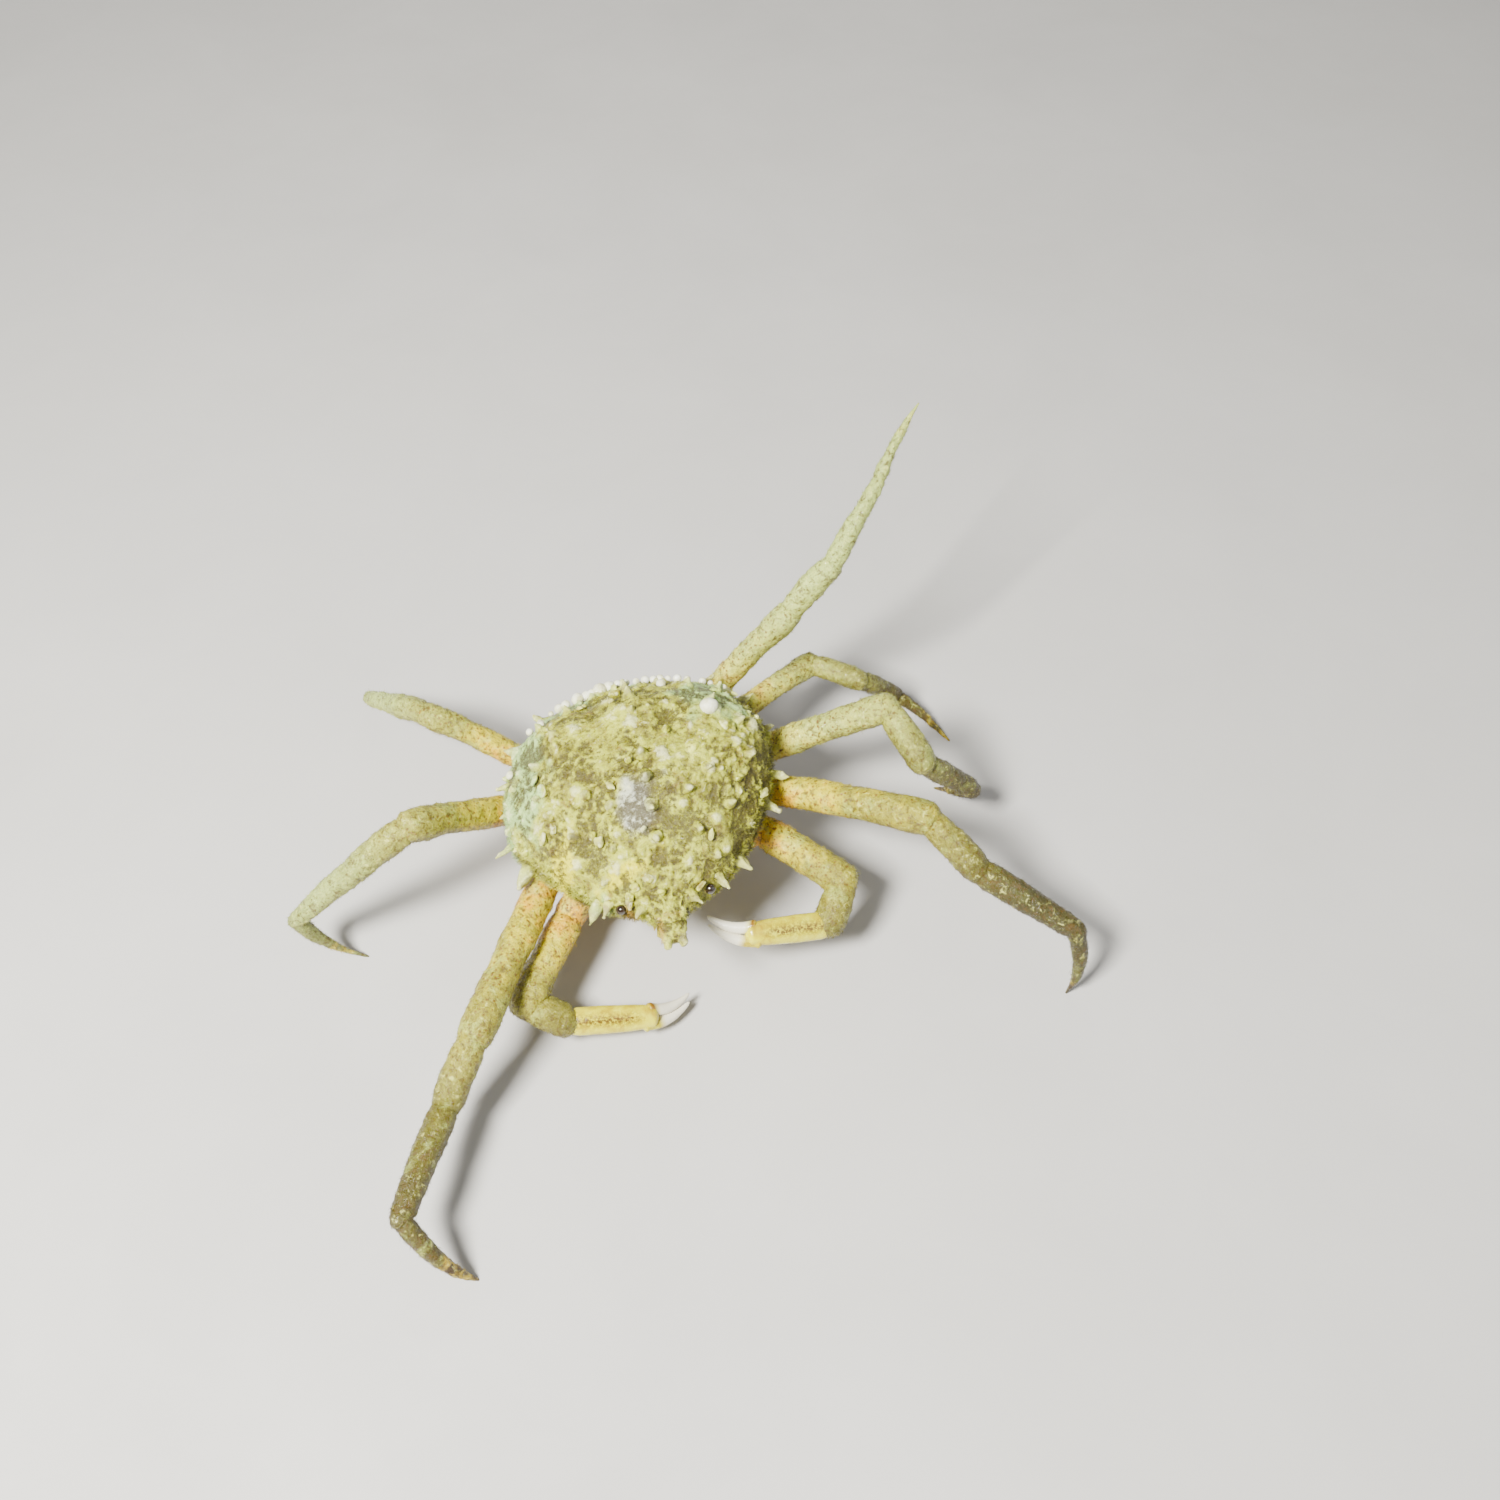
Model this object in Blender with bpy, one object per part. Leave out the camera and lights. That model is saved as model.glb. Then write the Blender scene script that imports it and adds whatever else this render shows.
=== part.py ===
"""Portly spider crab as a still, life-size museum model.

Every length below is in millimetres and is turned into metres when a mesh is made.
The crab looks along -Y, its left side is +X, and the floor is the plane z = 0.
Each limb is a chain of segments. A segment is given by its length, and by the
bearing (degrees from +X towards +Y) and the rise (degrees above level) it points to.
"""

import math
import random

import bmesh
import bpy
import numpy as np

MM = 0.001
GAP = 0.3
UP = np.array([0.0, 0.0, 1.0])

# Carapace, rear margin to rostrum. The middle of the shell stands over the origin.
# Each row: distance along Y, half width, top, level of the widest point, underside.
SHELL_ROWS = (
    (25.2, 6.5, 36.2, 33.3, 31.2),
    (23.8, 12.5, 39.0, 33.0, 30.6),
    (20.8, 19.0, 42.4, 33.0, 30.3),
    (15.4, 26.0, 47.2, 33.0, 30.2),
    (8.0, 31.0, 53.2, 33.5, 30.2),
    (0.0, 33.0, 56.0, 34.0, 30.2),
    (-8.0, 32.4, 57.0, 34.0, 30.2),
    (-16.0, 29.8, 56.2, 34.5, 30.2),
    (-23.0, 26.0, 54.0, 35.0, 30.2),
    (-29.0, 22.0, 51.2, 35.5, 30.3),
    (-34.0, 17.6, 48.0, 36.0, 30.6),
    (-38.0, 13.0, 45.0, 36.5, 31.8),
    (-41.0, 9.0, 43.0, 37.0, 33.4),
    (-43.5, 5.8, 41.8, 37.6, 35.0),
    (-46.5, 3.6, 41.2, 38.2, 36.0),
    (-50.6, 2.7, 40.5, 38.6, 36.8),
)
SHELL_STATIONS = 27
SHELL_TOP_POINTS = 25
SHELL_SIDE_POINTS = 3
SHELL_TUCK = 0.13
# Crust makes the right front of the shell fuller: extra share of width, its middle and spread.
CRUST_SHARE, CRUST_Y, CRUST_SPREAD = 0.1, -18.0, 10.0
# The body leans to its right: rise for each unit of distance to the left.
LEAN = 0.1

# Swellings and grooves of the regions: X (mirrored where not 0), Y, height, spread X, spread Y.
REGIONS = (
    (0.0, -20.0, 1.7, 8.0, 9.0),
    (0.0, 5.0, 1.7, 6.5, 6.0),
    (0.0, 16.0, 1.1, 7.0, 4.0),
    (17.0, 4.0, 1.5, 8.0, 10.0),
    (20.0, -11.0, 1.0, 6.0, 5.0),
    (15.0, -30.0, 1.2, 4.0, 4.0),
    (9.5, -6.0, -1.3, 3.5, 6.0),
    (10.0, 12.0, -0.9, 3.0, 6.0),
    (12.0, -24.0, -1.0, 3.0, 3.5),
    (0.0, -7.0, -0.6, 5.0, 3.0),
)

# Rostrum: two short blunt horns past the end of its trunk.
HORN_OUT, HORN_FROM, HORN_TO, HORN_LEVEL, HORN_RADIUS = 1.7, -47.5, -53.0, 38.6, 1.45

# Spines in the middle line: Y, length. They lean forward a little.
MEDIAN_SPINES = ((-31.0, 2.6), (-25.0, 3.0), (-18.5, 3.2), (-12.0, 2.6), (1.5, 3.2),
                 (8.0, 3.0), (14.5, 2.6), (20.0, 2.4))
# Spines along the margin: side, X, Y, level, bearing outwards on the left, rise, length,
# root radius. A side of 0 stands for both.
SIDE_SPINES = (
    (0, 32.0, 3.5, 35.5, 6.0, 10.0, 3.4, 1.1),
    (0, 28.6, 12.0, 37.5, 22.0, 18.0, 3.8, 1.3),
    (0, 21.5, 20.0, 38.0, 46.0, 18.0, 3.0, 1.2),
    (0, 12.8, -37.2, 38.0, -62.0, 6.0, 4.2, 1.3),
    (0, 6.3, -43.0, 40.6, -58.0, 24.0, 2.8, 1.0),
    (1, 31.4, -9.9, 34.3, -20.0, 4.0, 4.6, 1.4),
    (1, 28.0, -17.5, 34.0, -38.0, 0.0, 4.6, 1.5),
    (1, 17.4, -30.6, 35.0, -48.0, 2.0, 6.0, 2.1),
    (-1, 32.4, -3.0, 34.5, -20.0, 4.0, 3.2, 1.1),
    (-1, 31.4, -11.7, 33.5, -22.0, 0.0, 6.8, 1.1),
    (-1, 29.2, -19.0, 33.0, -50.0, -4.0, 6.6, 2.4),
    (-1, 15.6, -36.0, 35.6, -58.0, 2.0, 4.8, 1.6),
)
# Upper side spines on the branchial, gastric and hepatic regions: X, Y, length.
UPPER_SPINES = (
    (19.0, 2.0, 2.6), (24.5, -4.0, 2.4), (15.0, 10.5, 2.4), (22.0, 9.5, 2.2),
    (9.0, -22.0, 2.2), (14.5, -17.5, 2.0), (18.5, -24.5, 2.2), (10.0, -30.5, 2.0),
    (25.0, -13.0, 2.2), (8.0, 17.5, 1.9), (13.0, -35.0, 1.8),
)
SPINE_SIDES = 5
SPINE_ROOT = 1.4

# Low tubercles of crust between the spines, spread evenly, and white lumps on the rear rim.
TUBERCLES = 46
TUBERCLE_RADIUS = (0.9, 1.7)
RIM_LUMPS = 11
RIM_LUMP_RADIUS = (1.1, 1.5)
BIG_LUMP = (18.5, 9.0, 2.5)
BALL_LUMP = (-17.5, 11.0, 1.5)

# Thorax under the shell. Each row: Y, half width, underside.
THORAX_ROWS = (
    (23.4, 7.0, 23.5),
    (22.2, 11.0, 20.5),
    (18.0, 15.5, 18.0),
    (11.0, 18.0, 16.6),
    (2.0, 19.2, 16.2),
    (-8.0, 18.0, 16.4),
    (-16.0, 15.4, 17.2),
    (-24.0, 12.2, 19.6),
    (-30.0, 9.2, 22.6),
    (-34.5, 6.8, 26.0),
)

# Tail flap folded under the thorax. Each row: Y, level, half width.
FLAP_ROWS = (
    (25.5, 27.2, 7.0),
    (25.4, 23.8, 8.6),
    (24.1, 20.2, 10.0),
    (21.0, 17.2, 11.2),
    (15.0, 15.7, 12.2),
    (9.0, 15.2, 12.6),
    (3.0, 15.0, 12.2),
    (-3.0, 15.0, 10.6),
    (-7.5, 15.1, 7.6),
    (-11.0, 15.5, 3.4),
)
FLAP_THICK = 1.7
FLAP_RIB = 0.35

# Mouthpart plates, eyes and feelers, given on the left side.
MOUTH_ROWS = ((3.3, -18.0, 16.0, 2.2), (3.3, -23.0, 17.5, 2.9), (3.3, -28.5, 20.3, 3.0),
              (3.2, -33.0, 23.6, 2.8), (3.0, -36.0, 27.0, 2.0))
MOUTH_THICK = 1.9
EYE_SEAT = np.array([7.2, -36.8, 37.0])
EYE_TIP = np.array([11.6, -40.9, 38.0])
EYE_RADIUS, EYE_STALK_RADIUS = 1.6, 1.05
FEELER_PATH = ((2.9, -38.6, 30.8), (3.2, -41.0, 32.0), (3.5, -43.4, 33.7), (3.8, -45.6, 34.8))
FEELER_RADII = (0.95, 0.8, 0.6, 0.4)

# Limbs: where each pair leaves the thorax on the left, and the lengths of its segments.
LIMBS = {
    "claw": ((13.5, -18.0, 23.5), (14.0, 24.6, 11.2, 20.5, 11.0)),
    "leg_1": ((18.0, -8.5, 24.0), (12.0, 46.5, 17.0, 27.5, 25.0)),
    "leg_2": ((20.0, 1.5, 23.5), (12.0, 37.0, 16.5, 25.5, 23.5)),
    "leg_3": ((19.0, 11.0, 23.5), (12.0, 27.5, 14.5, 22.0, 20.0)),
    "leg_4": ((14.5, 18.5, 24.5), (12.0, 34.0, 17.0, 23.0, 21.5)),
}
# Radii at the thick part of base, upper arm (merus), carpus, propodus and dactyl.
RADII = {
    "claw": (4.1, 4.3, 3.9, 3.4, 1.4),
    "leg_1": (4.2, 4.2, 3.7, 3.5, 2.4),
    "leg_2": (4.1, 3.9, 3.5, 3.0, 2.0),
    "leg_3": (3.8, 3.3, 3.0, 2.6, 1.8),
    "leg_4": (3.8, 3.5, 3.2, 2.5, 1.6),
}
# The pose: bearings and rises of the five segments of each limb.
POSE = {
    "claw_right": ((-135, -123, -21, -5, 25), (-22, -4, -32, -5, -14)),
    "claw_left": ((6, -45, -125, -175, 154), (0, -8, -30, 15, 10)),
    "leg_1_right": ((-130, -118, -129, -115, -38), (0, 4, -34, 6, -47)),
    "leg_1_left": ((12, -39, -48, -37, -78), (8, 19, -30, -20, -85)),
    "leg_2_right": ((168, -145, -165, 178, -8), (1, 39, -28, -45, -61)),
    "leg_2_left": ((18, -13, -62, 12, 105), (7, 31, -30, -51, -49)),
    "leg_3_right": ((135, 158, 129, 118, 92), (0, 30, -26, -38, -52)),
    "leg_3_left": ((40, 31, -36, 25, -43), (7, -3, 2, -49, -28)),
    "leg_4_right": ((115, 30, -25, -80, -105), (-35, -20, -1, 0, -14)),
    "leg_4_left": ((42, -1, 9, 41, 41), (6, 53, 50, 36, 41)),
}
RAISED = ("claw_right", "claw_left", "leg_4_left")
SEGMENTS = ("base", "merus", "carpus", "propodus", "dactyl")
CLAW_SEGMENTS = ("base", "merus", "carpus", "palm", "finger")

# Thickness along a segment, as shares of its radius at shares of its length.
PROFILES = {
    "base": ((0.0, 1.0), (0.55, 1.0), (0.8, 1.04), (1.0, 0.9)),
    "merus": ((0.0, 0.84), (0.1, 0.98), (0.3, 1.0), (0.55, 0.96), (0.8, 1.0), (0.93, 1.06),
              (1.0, 0.94)),
    "carpus": ((0.0, 0.88), (0.22, 1.0), (0.55, 1.06), (0.82, 1.06), (1.0, 0.92)),
    "propodus": ((0.0, 0.88), (0.1, 1.02), (0.35, 1.0), (0.7, 0.9), (0.92, 0.84), (1.0, 0.72)),
    "dactyl": ((0.0, 0.9), (0.1, 1.0), (0.35, 0.84), (0.6, 0.66), (0.82, 0.46), (1.0, 0.32)),
    "palm": ((0.0, 0.82), (0.12, 1.0), (0.4, 1.03), (0.75, 0.97), (1.0, 0.86)),
    "finger": ((0.0, 0.95), (0.3, 1.0), (0.6, 0.78), (0.85, 0.5), (1.0, 0.2)),
}
BOWS = {"base": 0.0, "merus": 0.02, "carpus": 0.03, "propodus": 0.01, "dactyl": 0.09,
        "palm": 0.0, "finger": 0.0}
RING = 10
ELBOW_LIMIT = 0.6
PALM_THIN = 0.8
FINGERS_TILT = 38.0
FINGERS_APART, FINGER_TIPS_APART, FINGERS_CURL = 1.9, 1.15, 1.2
FINGER_ROOT = 1.2

SHELL_COLOUR = (0.42, 0.40, 0.18, 1.0)
BELLY_COLOUR = (0.70, 0.62, 0.38, 1.0)
LEG_COLOUR = (0.50, 0.42, 0.16, 1.0)
CLAW_COLOUR = (0.80, 0.68, 0.30, 1.0)
TIP_COLOUR = (0.85, 0.82, 0.74, 1.0)
EYE_COLOUR = (0.03, 0.025, 0.02, 1.0)


def clear_file():
    for thing in list(bpy.data.objects):
        bpy.data.objects.remove(thing, do_unlink=True)


def named_collection(name):
    group = bpy.data.collections.new(name)
    bpy.context.scene.collection.children.link(group)
    return group


def unit(vector):
    return vector / np.linalg.norm(vector)


def pointing(bearing, rise):
    b, r = math.radians(bearing), math.radians(rise)
    return np.array([math.cos(r) * math.cos(b), math.cos(r) * math.sin(b), math.sin(r)])


def smooth_rows(rows, at):
    """Reads every column of the rows at a first-column value, along a smooth curve."""
    table = np.array(sorted(rows))
    xs = table[:, 0]
    slopes = np.gradient(table, xs, axis=0)
    i = int(np.clip(np.searchsorted(xs, at) - 1, 0, len(xs) - 2))
    step = xs[i + 1] - xs[i]
    t = (at - xs[i]) / step
    return (
        (2 * t**3 - 3 * t**2 + 1) * table[i]
        + (t**3 - 2 * t**2 + t) * step * slopes[i]
        + (3 * t**2 - 2 * t**3) * table[i + 1]
        + (t**3 - t**2) * step * slopes[i + 1]
    )


def relief(x, y):
    """Height that the swellings and grooves add to the shell's top."""
    total = 0.0
    for centre, along, height, spread_x, spread_y in REGIONS:
        for side in ((1.0, -1.0) if centre else (1.0,)):
            across = (x - side * centre) / spread_x
            total += height * math.exp(-(across**2) - ((y - along) / spread_y) ** 2)
    return total


def new_object(name, points, faces, group, colour):
    mesh = bpy.data.meshes.new(name)
    mesh.from_pydata([tuple(p * MM) for p in points], [], faces)
    tidy = bmesh.new()
    tidy.from_mesh(mesh)
    bmesh.ops.triangulate(tidy, faces=tidy.faces[:])
    bmesh.ops.recalc_face_normals(tidy, faces=tidy.faces[:])
    tidy.to_mesh(mesh)
    tidy.free()
    thing = bpy.data.objects.new(name, mesh)
    group.objects.link(thing)
    if colour:
        paint = bpy.data.materials.new(name)
        paint.use_nodes = True
        shader = paint.node_tree.nodes["Principled BSDF"]
        shader.inputs["Base Color"].default_value = colour
        shader.inputs["Roughness"].default_value = 0.6
        mesh.materials.append(paint)
    return thing


def loft(name, rings, group, colour=None):
    """Joins rings of the same count of points, and closes both ends to a middle point."""
    count = len(rings[0])
    points = [p for ring in rings for p in ring]
    points += [np.mean(rings[0], axis=0), np.mean(rings[-1], axis=0)]
    faces = []
    for i in range(len(rings) - 1):
        for j in range(count):
            k = (j + 1) % count
            a, b = i * count, (i + 1) * count
            faces.append((a + j, a + k, b + k, b + j))
    last = (len(rings) - 1) * count
    for j in range(count):
        k = (j + 1) % count
        faces.append((len(points) - 2, k, j))
        faces.append((len(points) - 1, last + j, last + k))
    return new_object(name, points, faces, group, colour)


def frame_across(direction, hint):
    """Two unit vectors across a direction, the second as near to the hint as can be."""
    second = unit(hint - np.dot(hint, direction) * direction)
    return np.cross(second, direction), second


def end_ring(middle, direction, normal, across, inward):
    """Points of a ring laid in a joint's plane, its outer corner drawn in to round an elbow."""
    ring = []
    lean = np.dot(direction, normal)
    middle = middle + inward * direction * (GAP / 2) / lean
    for arm in across:
        slide = -np.dot(arm, normal) / lean
        outward = -inward * slide
        limit = ELBOW_LIMIT * np.linalg.norm(arm)
        share = min(1.0, limit / outward) if outward > 0 else 1.0
        ring.append(middle + share * (arm + slide * direction))
    return ring


def segment(name, start, end, kind, radius, planes, group, colour, thin=1.0, hint=UP):
    """One limb segment, a tube whose end rings lie in its two joints' planes."""
    direction = unit(end - start)
    first, second = frame_across(direction, hint)
    length = np.linalg.norm(end - start)
    rings = []
    for share, size in PROFILES[kind]:
        middle = start + (end - start) * share
        middle = middle + second * BOWS[kind] * length * 4 * share * (1 - share)
        angles = [2 * math.pi * j / RING for j in range(RING)]
        across = [
            size * radius * (math.cos(a) * first * thin + math.sin(a) * second) for a in angles
        ]
        if share == 0.0:
            rings.append(end_ring(middle, direction, planes[0], across, 1.0))
            continue
        if share == 1.0:
            rings.append(end_ring(middle, direction, planes[1], across, -1.0))
            continue
        ring = []
        for arm in across:
            slide = 0.0
            for plane, weight, inward in ((planes[0], 1 - share, 1.0), (planes[1], share, -1.0)):
                part = -np.dot(arm, plane) / np.dot(direction, plane)
                if -inward * part > 0:
                    part = math.copysign(min(abs(part), ELBOW_LIMIT * radius), part)
                slide += weight * part
            ring.append(middle + arm + slide * direction)
        rings.append(ring)
    return loft(name, rings, group, colour)


def joints_of(limb):
    """The six points of a limb's chain. A foot that stands ends exactly on the floor."""
    pair, side = limb.rsplit("_", 1)
    (x, y, z), lengths = LIMBS[pair]
    x = x if side == "left" else -x
    points = [np.array([x, y, z + LEAN * x])]
    bearings, rises = POSE[limb]
    for i in range(5):
        rise = rises[i]
        if i == 4 and limb not in RAISED:
            rise = -math.degrees(math.asin(min(1.0, points[-1][2] / lengths[i])))
        points.append(points[-1] + lengths[i] * pointing(bearings[i], rise))
    return points


def planes_of(points, stands):
    """The plane of each joint halves the bend, and a standing foot's last plane is the floor."""
    ways = [unit(points[i + 1] - points[i]) for i in range(5)]
    planes = [ways[0]]
    planes += [unit(ways[i] + ways[i + 1]) for i in range(4)]
    planes.append(-UP if stands else ways[4])
    return planes


def cut(target, cutter):
    """Takes the cutter's shape out of the target."""
    difference = target.modifiers.new("cut", "BOOLEAN")
    difference.operation = "DIFFERENCE"
    difference.solver = "EXACT"
    difference.object = cutter
    apply_modifiers(target)


def unite(target, pieces):
    """Fuses closed pieces with the target, then keeps its largest closed surface."""
    group = bpy.data.collections.new("pieces")
    bpy.context.scene.collection.children.link(group)
    for piece in pieces:
        for owner in list(piece.users_collection):
            owner.objects.unlink(piece)
        group.objects.link(piece)
    union = target.modifiers.new("union", "BOOLEAN")
    union.operation = "UNION"
    union.operand_type = "COLLECTION"
    union.solver = "MANIFOLD"
    union.collection = group
    apply_modifiers(target)
    for piece in pieces:
        bpy.data.objects.remove(piece, do_unlink=True)
    bpy.data.collections.remove(group)
    keep_largest(target)


def apply_modifiers(target):
    graph = bpy.context.evaluated_depsgraph_get()
    mesh = bpy.data.meshes.new_from_object(target.evaluated_get(graph))
    target.modifiers.clear()
    target.data = mesh


def keep_largest(target):
    shape = bmesh.new()
    shape.from_mesh(target.data)
    left = set(shape.faces)
    shells = []
    while left:
        seed = left.pop()
        shell, edge = {seed}, [seed]
        while edge:
            for side in edge.pop().edges:
                for face in side.link_faces:
                    if face in left:
                        left.discard(face)
                        shell.add(face)
                        edge.append(face)
        shells.append(shell)
    largest = max(shells, key=lambda shell: sum(face.calc_area() for face in shell))
    loose = [face for shell in shells if shell is not largest for face in shell]
    bmesh.ops.delete(shape, geom=loose, context="FACES")
    bmesh.ops.triangulate(shape, faces=shape.faces[:])
    shape.to_mesh(target.data)
    shape.free()


def half_width(y, side):
    """Half the shell's width at a row, on the left (1) or the right (-1), which is fuller."""
    half = smooth_rows(SHELL_ROWS, y)[1]
    if side > 0:
        return half
    return half * (1 + CRUST_SHARE * math.exp(-(((y - CRUST_Y) / CRUST_SPREAD) ** 2)))


def shell_point(y, angle):
    """A point of the shell's dome: the angle runs from 0 at the left rim to pi at the right."""
    top, level = smooth_rows(SHELL_ROWS, y)[2:4]
    side = math.copysign(1.0, math.cos(angle))
    x = side * half_width(y, side) * abs(math.cos(angle)) ** 0.92
    rise = max(0.0, math.sin(angle)) ** 0.95
    z = level + (top - level) * rise + relief(x, y) * min(1.0, 1.6 * rise)
    return np.array([x, y, z])


def shell_outward(y, angle):
    """The direction that faces out of the shell's dome at a point."""
    step = 0.02
    along = shell_point(y - 0.4, angle) - shell_point(y + 0.4, angle)
    around = shell_point(y, min(angle + step, math.pi)) - shell_point(y, max(angle - step, 0.0))
    outward = np.cross(along, around)
    if np.dot(outward, shell_point(y, angle) - np.array([0.0, y * 0.6, 30.0])) < 0:
        outward = -outward
    return unit(outward)


def angle_at(x, y):
    """The dome angle whose point lies above a place on the plan."""
    share = min(0.985, abs(x) / half_width(y, x)) ** (1 / 0.92)
    angle = math.acos(share)
    return angle if x >= 0 else math.pi - angle


def spine(root, outward, length, radius, group, sides=SPINE_SIDES, blunt=0.0):
    """A tapering spine with its root sunk in, or a low bump where it is blunt."""
    first, second = frame_across(outward, UP if abs(outward[2]) < 0.9 else np.array([0, -1.0, 0]))
    rings = []
    for reach, share in ((-SPINE_ROOT, 1.05), (length * 0.45, 0.62 + 0.3 * blunt)):
        ring = []
        for j in range(sides):
            a = 2 * math.pi * (j + 0.25) / sides
            arm = math.cos(a) * first + math.sin(a) * second
            ring.append(root + reach * outward + share * radius * arm)
        rings.append(ring)
    points = rings[0] + rings[1] + [root + length * outward]
    faces = [tuple(range(sides))]
    for j in range(sides):
        k = (j + 1) % sides
        faces.append((j, sides + j, sides + k, k))
        faces.append((sides + j, 2 * sides, sides + k))
    return new_object("spine", points, faces, group, None)


def lump(middle, radius, group, detail):
    """A small round lump, an icosphere."""
    shape = bmesh.new()
    bmesh.ops.create_icosphere(shape, subdivisions=detail, radius=radius)
    points = [np.array(v.co) + middle for v in shape.verts]
    faces = [tuple(v.index for v in f.verts) for f in shape.faces]
    shape.free()
    return new_object("lump", points, faces, group, None)


def make_shell(group):
    """The carapace with its spines, tubercles, lumps, rostrum horns and eye sockets."""
    rows = np.linspace(0.0, 1.0, SHELL_STATIONS)
    rear, front = SHELL_ROWS[0][0], SHELL_ROWS[-1][0]
    rings = []
    for row in rows:
        y = rear + (front - rear) * row
        level, under = smooth_rows(SHELL_ROWS, y)[3:5]
        ring = [
            shell_point(y, math.pi * j / (SHELL_TOP_POINTS - 1)) for j in range(SHELL_TOP_POINTS)
        ]
        for side in (-1.0, 1.0):
            steps = range(1, SHELL_SIDE_POINTS + 1)
            for j in steps if side < 0 else reversed(steps):
                u = j / SHELL_SIDE_POINTS
                x = side * half_width(y, side) * (1 - SHELL_TUCK * u * u)
                ring.append(np.array([x, y, level + (under - level) * u]))
        rings.append(ring)
    shell = loft("carapace", rings, group, SHELL_COLOUR)
    for side in (1.0, -1.0):
        socket = make_eye("socket", side, GAP + 0.05, group, None)
        cut(shell, socket)
        bpy.data.objects.remove(socket, do_unlink=True)
    unite(shell, shell_pieces(group))
    return shell


def shell_pieces(group):
    """Everything that grows from the carapace."""
    pieces = []
    for side in (1.0, -1.0):
        start = np.array([side * HORN_OUT * 0.8, HORN_FROM, HORN_LEVEL])
        end = np.array([side * HORN_OUT * 1.25, HORN_TO, HORN_LEVEL + 0.6])
        way = unit(end - start)
        length = np.linalg.norm(end - start)
        pieces.append(spine(start, way, length, HORN_RADIUS, group, 6, 1.0))
    for y, length in MEDIAN_SPINES:
        outward = unit(shell_outward(y, math.pi / 2) + np.array([0.0, -0.25, 0.0]))
        pieces.append(spine(shell_point(y, math.pi / 2), outward, length, 1.25, group))
    for only, x, y, z, bearing, rise, length, radius in SIDE_SPINES:
        for side in (only,) if only else (1, -1):
            way = pointing(bearing, rise) * np.array([side, 1.0, 1.0])
            root = np.array([side * x, y, z]) - 1.0 * way
            pieces.append(spine(root, way, length + 1.0, radius, group))
    for x, y, length in UPPER_SPINES:
        for side in (1.0, -1.0):
            angle = angle_at(side * x, y)
            outward = shell_outward(y, angle)
            pieces.append(spine(shell_point(y, angle), outward, length, 1.15, group))
    for k in range(RIM_LUMPS):
        random_size = random.Random(100 + k)
        share = (k + 0.5) / RIM_LUMPS
        angle = math.pi * (0.13 + 0.74 * share)
        y = 22.2 - 6.6 * abs(2 * share - 1) ** 2.2
        middle = shell_point(y, angle) + 0.3 * shell_outward(y, angle)
        pieces.append(lump(middle, random_size.uniform(*RIM_LUMP_RADIUS), group, 1))
    for x, y, radius in (BIG_LUMP, BALL_LUMP):
        middle = shell_point(y, angle_at(x, y))
        pieces.append(lump(middle, radius, group, 2))
    for k in range(TUBERCLES):
        dice = random.Random(500 + k)
        share = (k + 0.5) / TUBERCLES
        y = 21.0 - 63.0 * share + dice.uniform(-1.0, 1.0)
        turn = (k * 0.618034) % 1.0
        angle = math.pi * (0.08 + 0.84 * turn)
        outward = shell_outward(y, angle)
        radius = dice.uniform(*TUBERCLE_RADIUS)
        pieces.append(spine(shell_point(y, angle), outward, 0.75 * radius, radius, group, 5, 1.0))
    return pieces


def make_eye(name, side, grow, group, colour):
    """A short stalk with a round eye, or, grown, the socket that it sits in."""
    mirror = np.array([side, 1.0, 1.0])
    seat, tip = EYE_SEAT * mirror, EYE_TIP * mirror
    way = unit(tip - seat)
    first, second = frame_across(way, UP)
    reach = np.linalg.norm(tip - seat)
    ball = EYE_RADIUS
    stations = [(-grow, EYE_STALK_RADIUS + grow), (reach - 2.6 * ball, EYE_STALK_RADIUS + grow)]
    for turn in (-55.0, -20.0, 15.0, 50.0):
        a = math.radians(turn)
        along = reach - ball + ball * math.sin(a)
        stations.append((along + grow * math.sin(a), (ball + grow) * math.cos(a)))
    stations.append((reach + 0.3 * grow, 0.35 * ball))
    rings = []
    for along, radius in stations:
        angles = [2 * math.pi * j / 10 for j in range(10)]
        arms = [math.cos(a) * first + math.sin(a) * second for a in angles]
        rings.append([seat + along * way + radius * arm for arm in arms])
    return loft(name, rings, group, colour)


def make_thorax(name, grow, group, colour):
    """The body under the shell. Grown by the gap, it cuts what leans against it."""
    rings = []
    rows = sorted(THORAX_ROWS, reverse=True)
    ends = (rows[0][0], rows[-1][0])
    for row in np.linspace(0.0, 1.0, 15):
        y = ends[0] + (ends[1] - ends[0]) * row
        _, half, under = smooth_rows(rows, y)
        top = smooth_rows(SHELL_ROWS, y)[4] - GAP + grow
        half, under = half + grow, under - grow
        deep = top - under
        ring = []
        for across, down in ((1.0, 0.0), (1.0, 0.45), (0.93, 0.78), (0.74, 0.95), (0.4, 1.0)):
            ring.append(np.array([half * across, y, top - deep * down]))
        for across, down in ((0.4, 1.0), (0.74, 0.95), (0.93, 0.78), (1.0, 0.45), (1.0, 0.0)):
            ring.append(np.array([-half * across, y, top - deep * down]))
        rings.append(ring)
    rings[0] = [p + np.array([0.0, grow, 0.0]) for p in rings[0]]
    rings[-1] = [p - np.array([0.0, grow, 0.0]) for p in rings[-1]]
    return loft(name, rings, group, colour)


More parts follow.
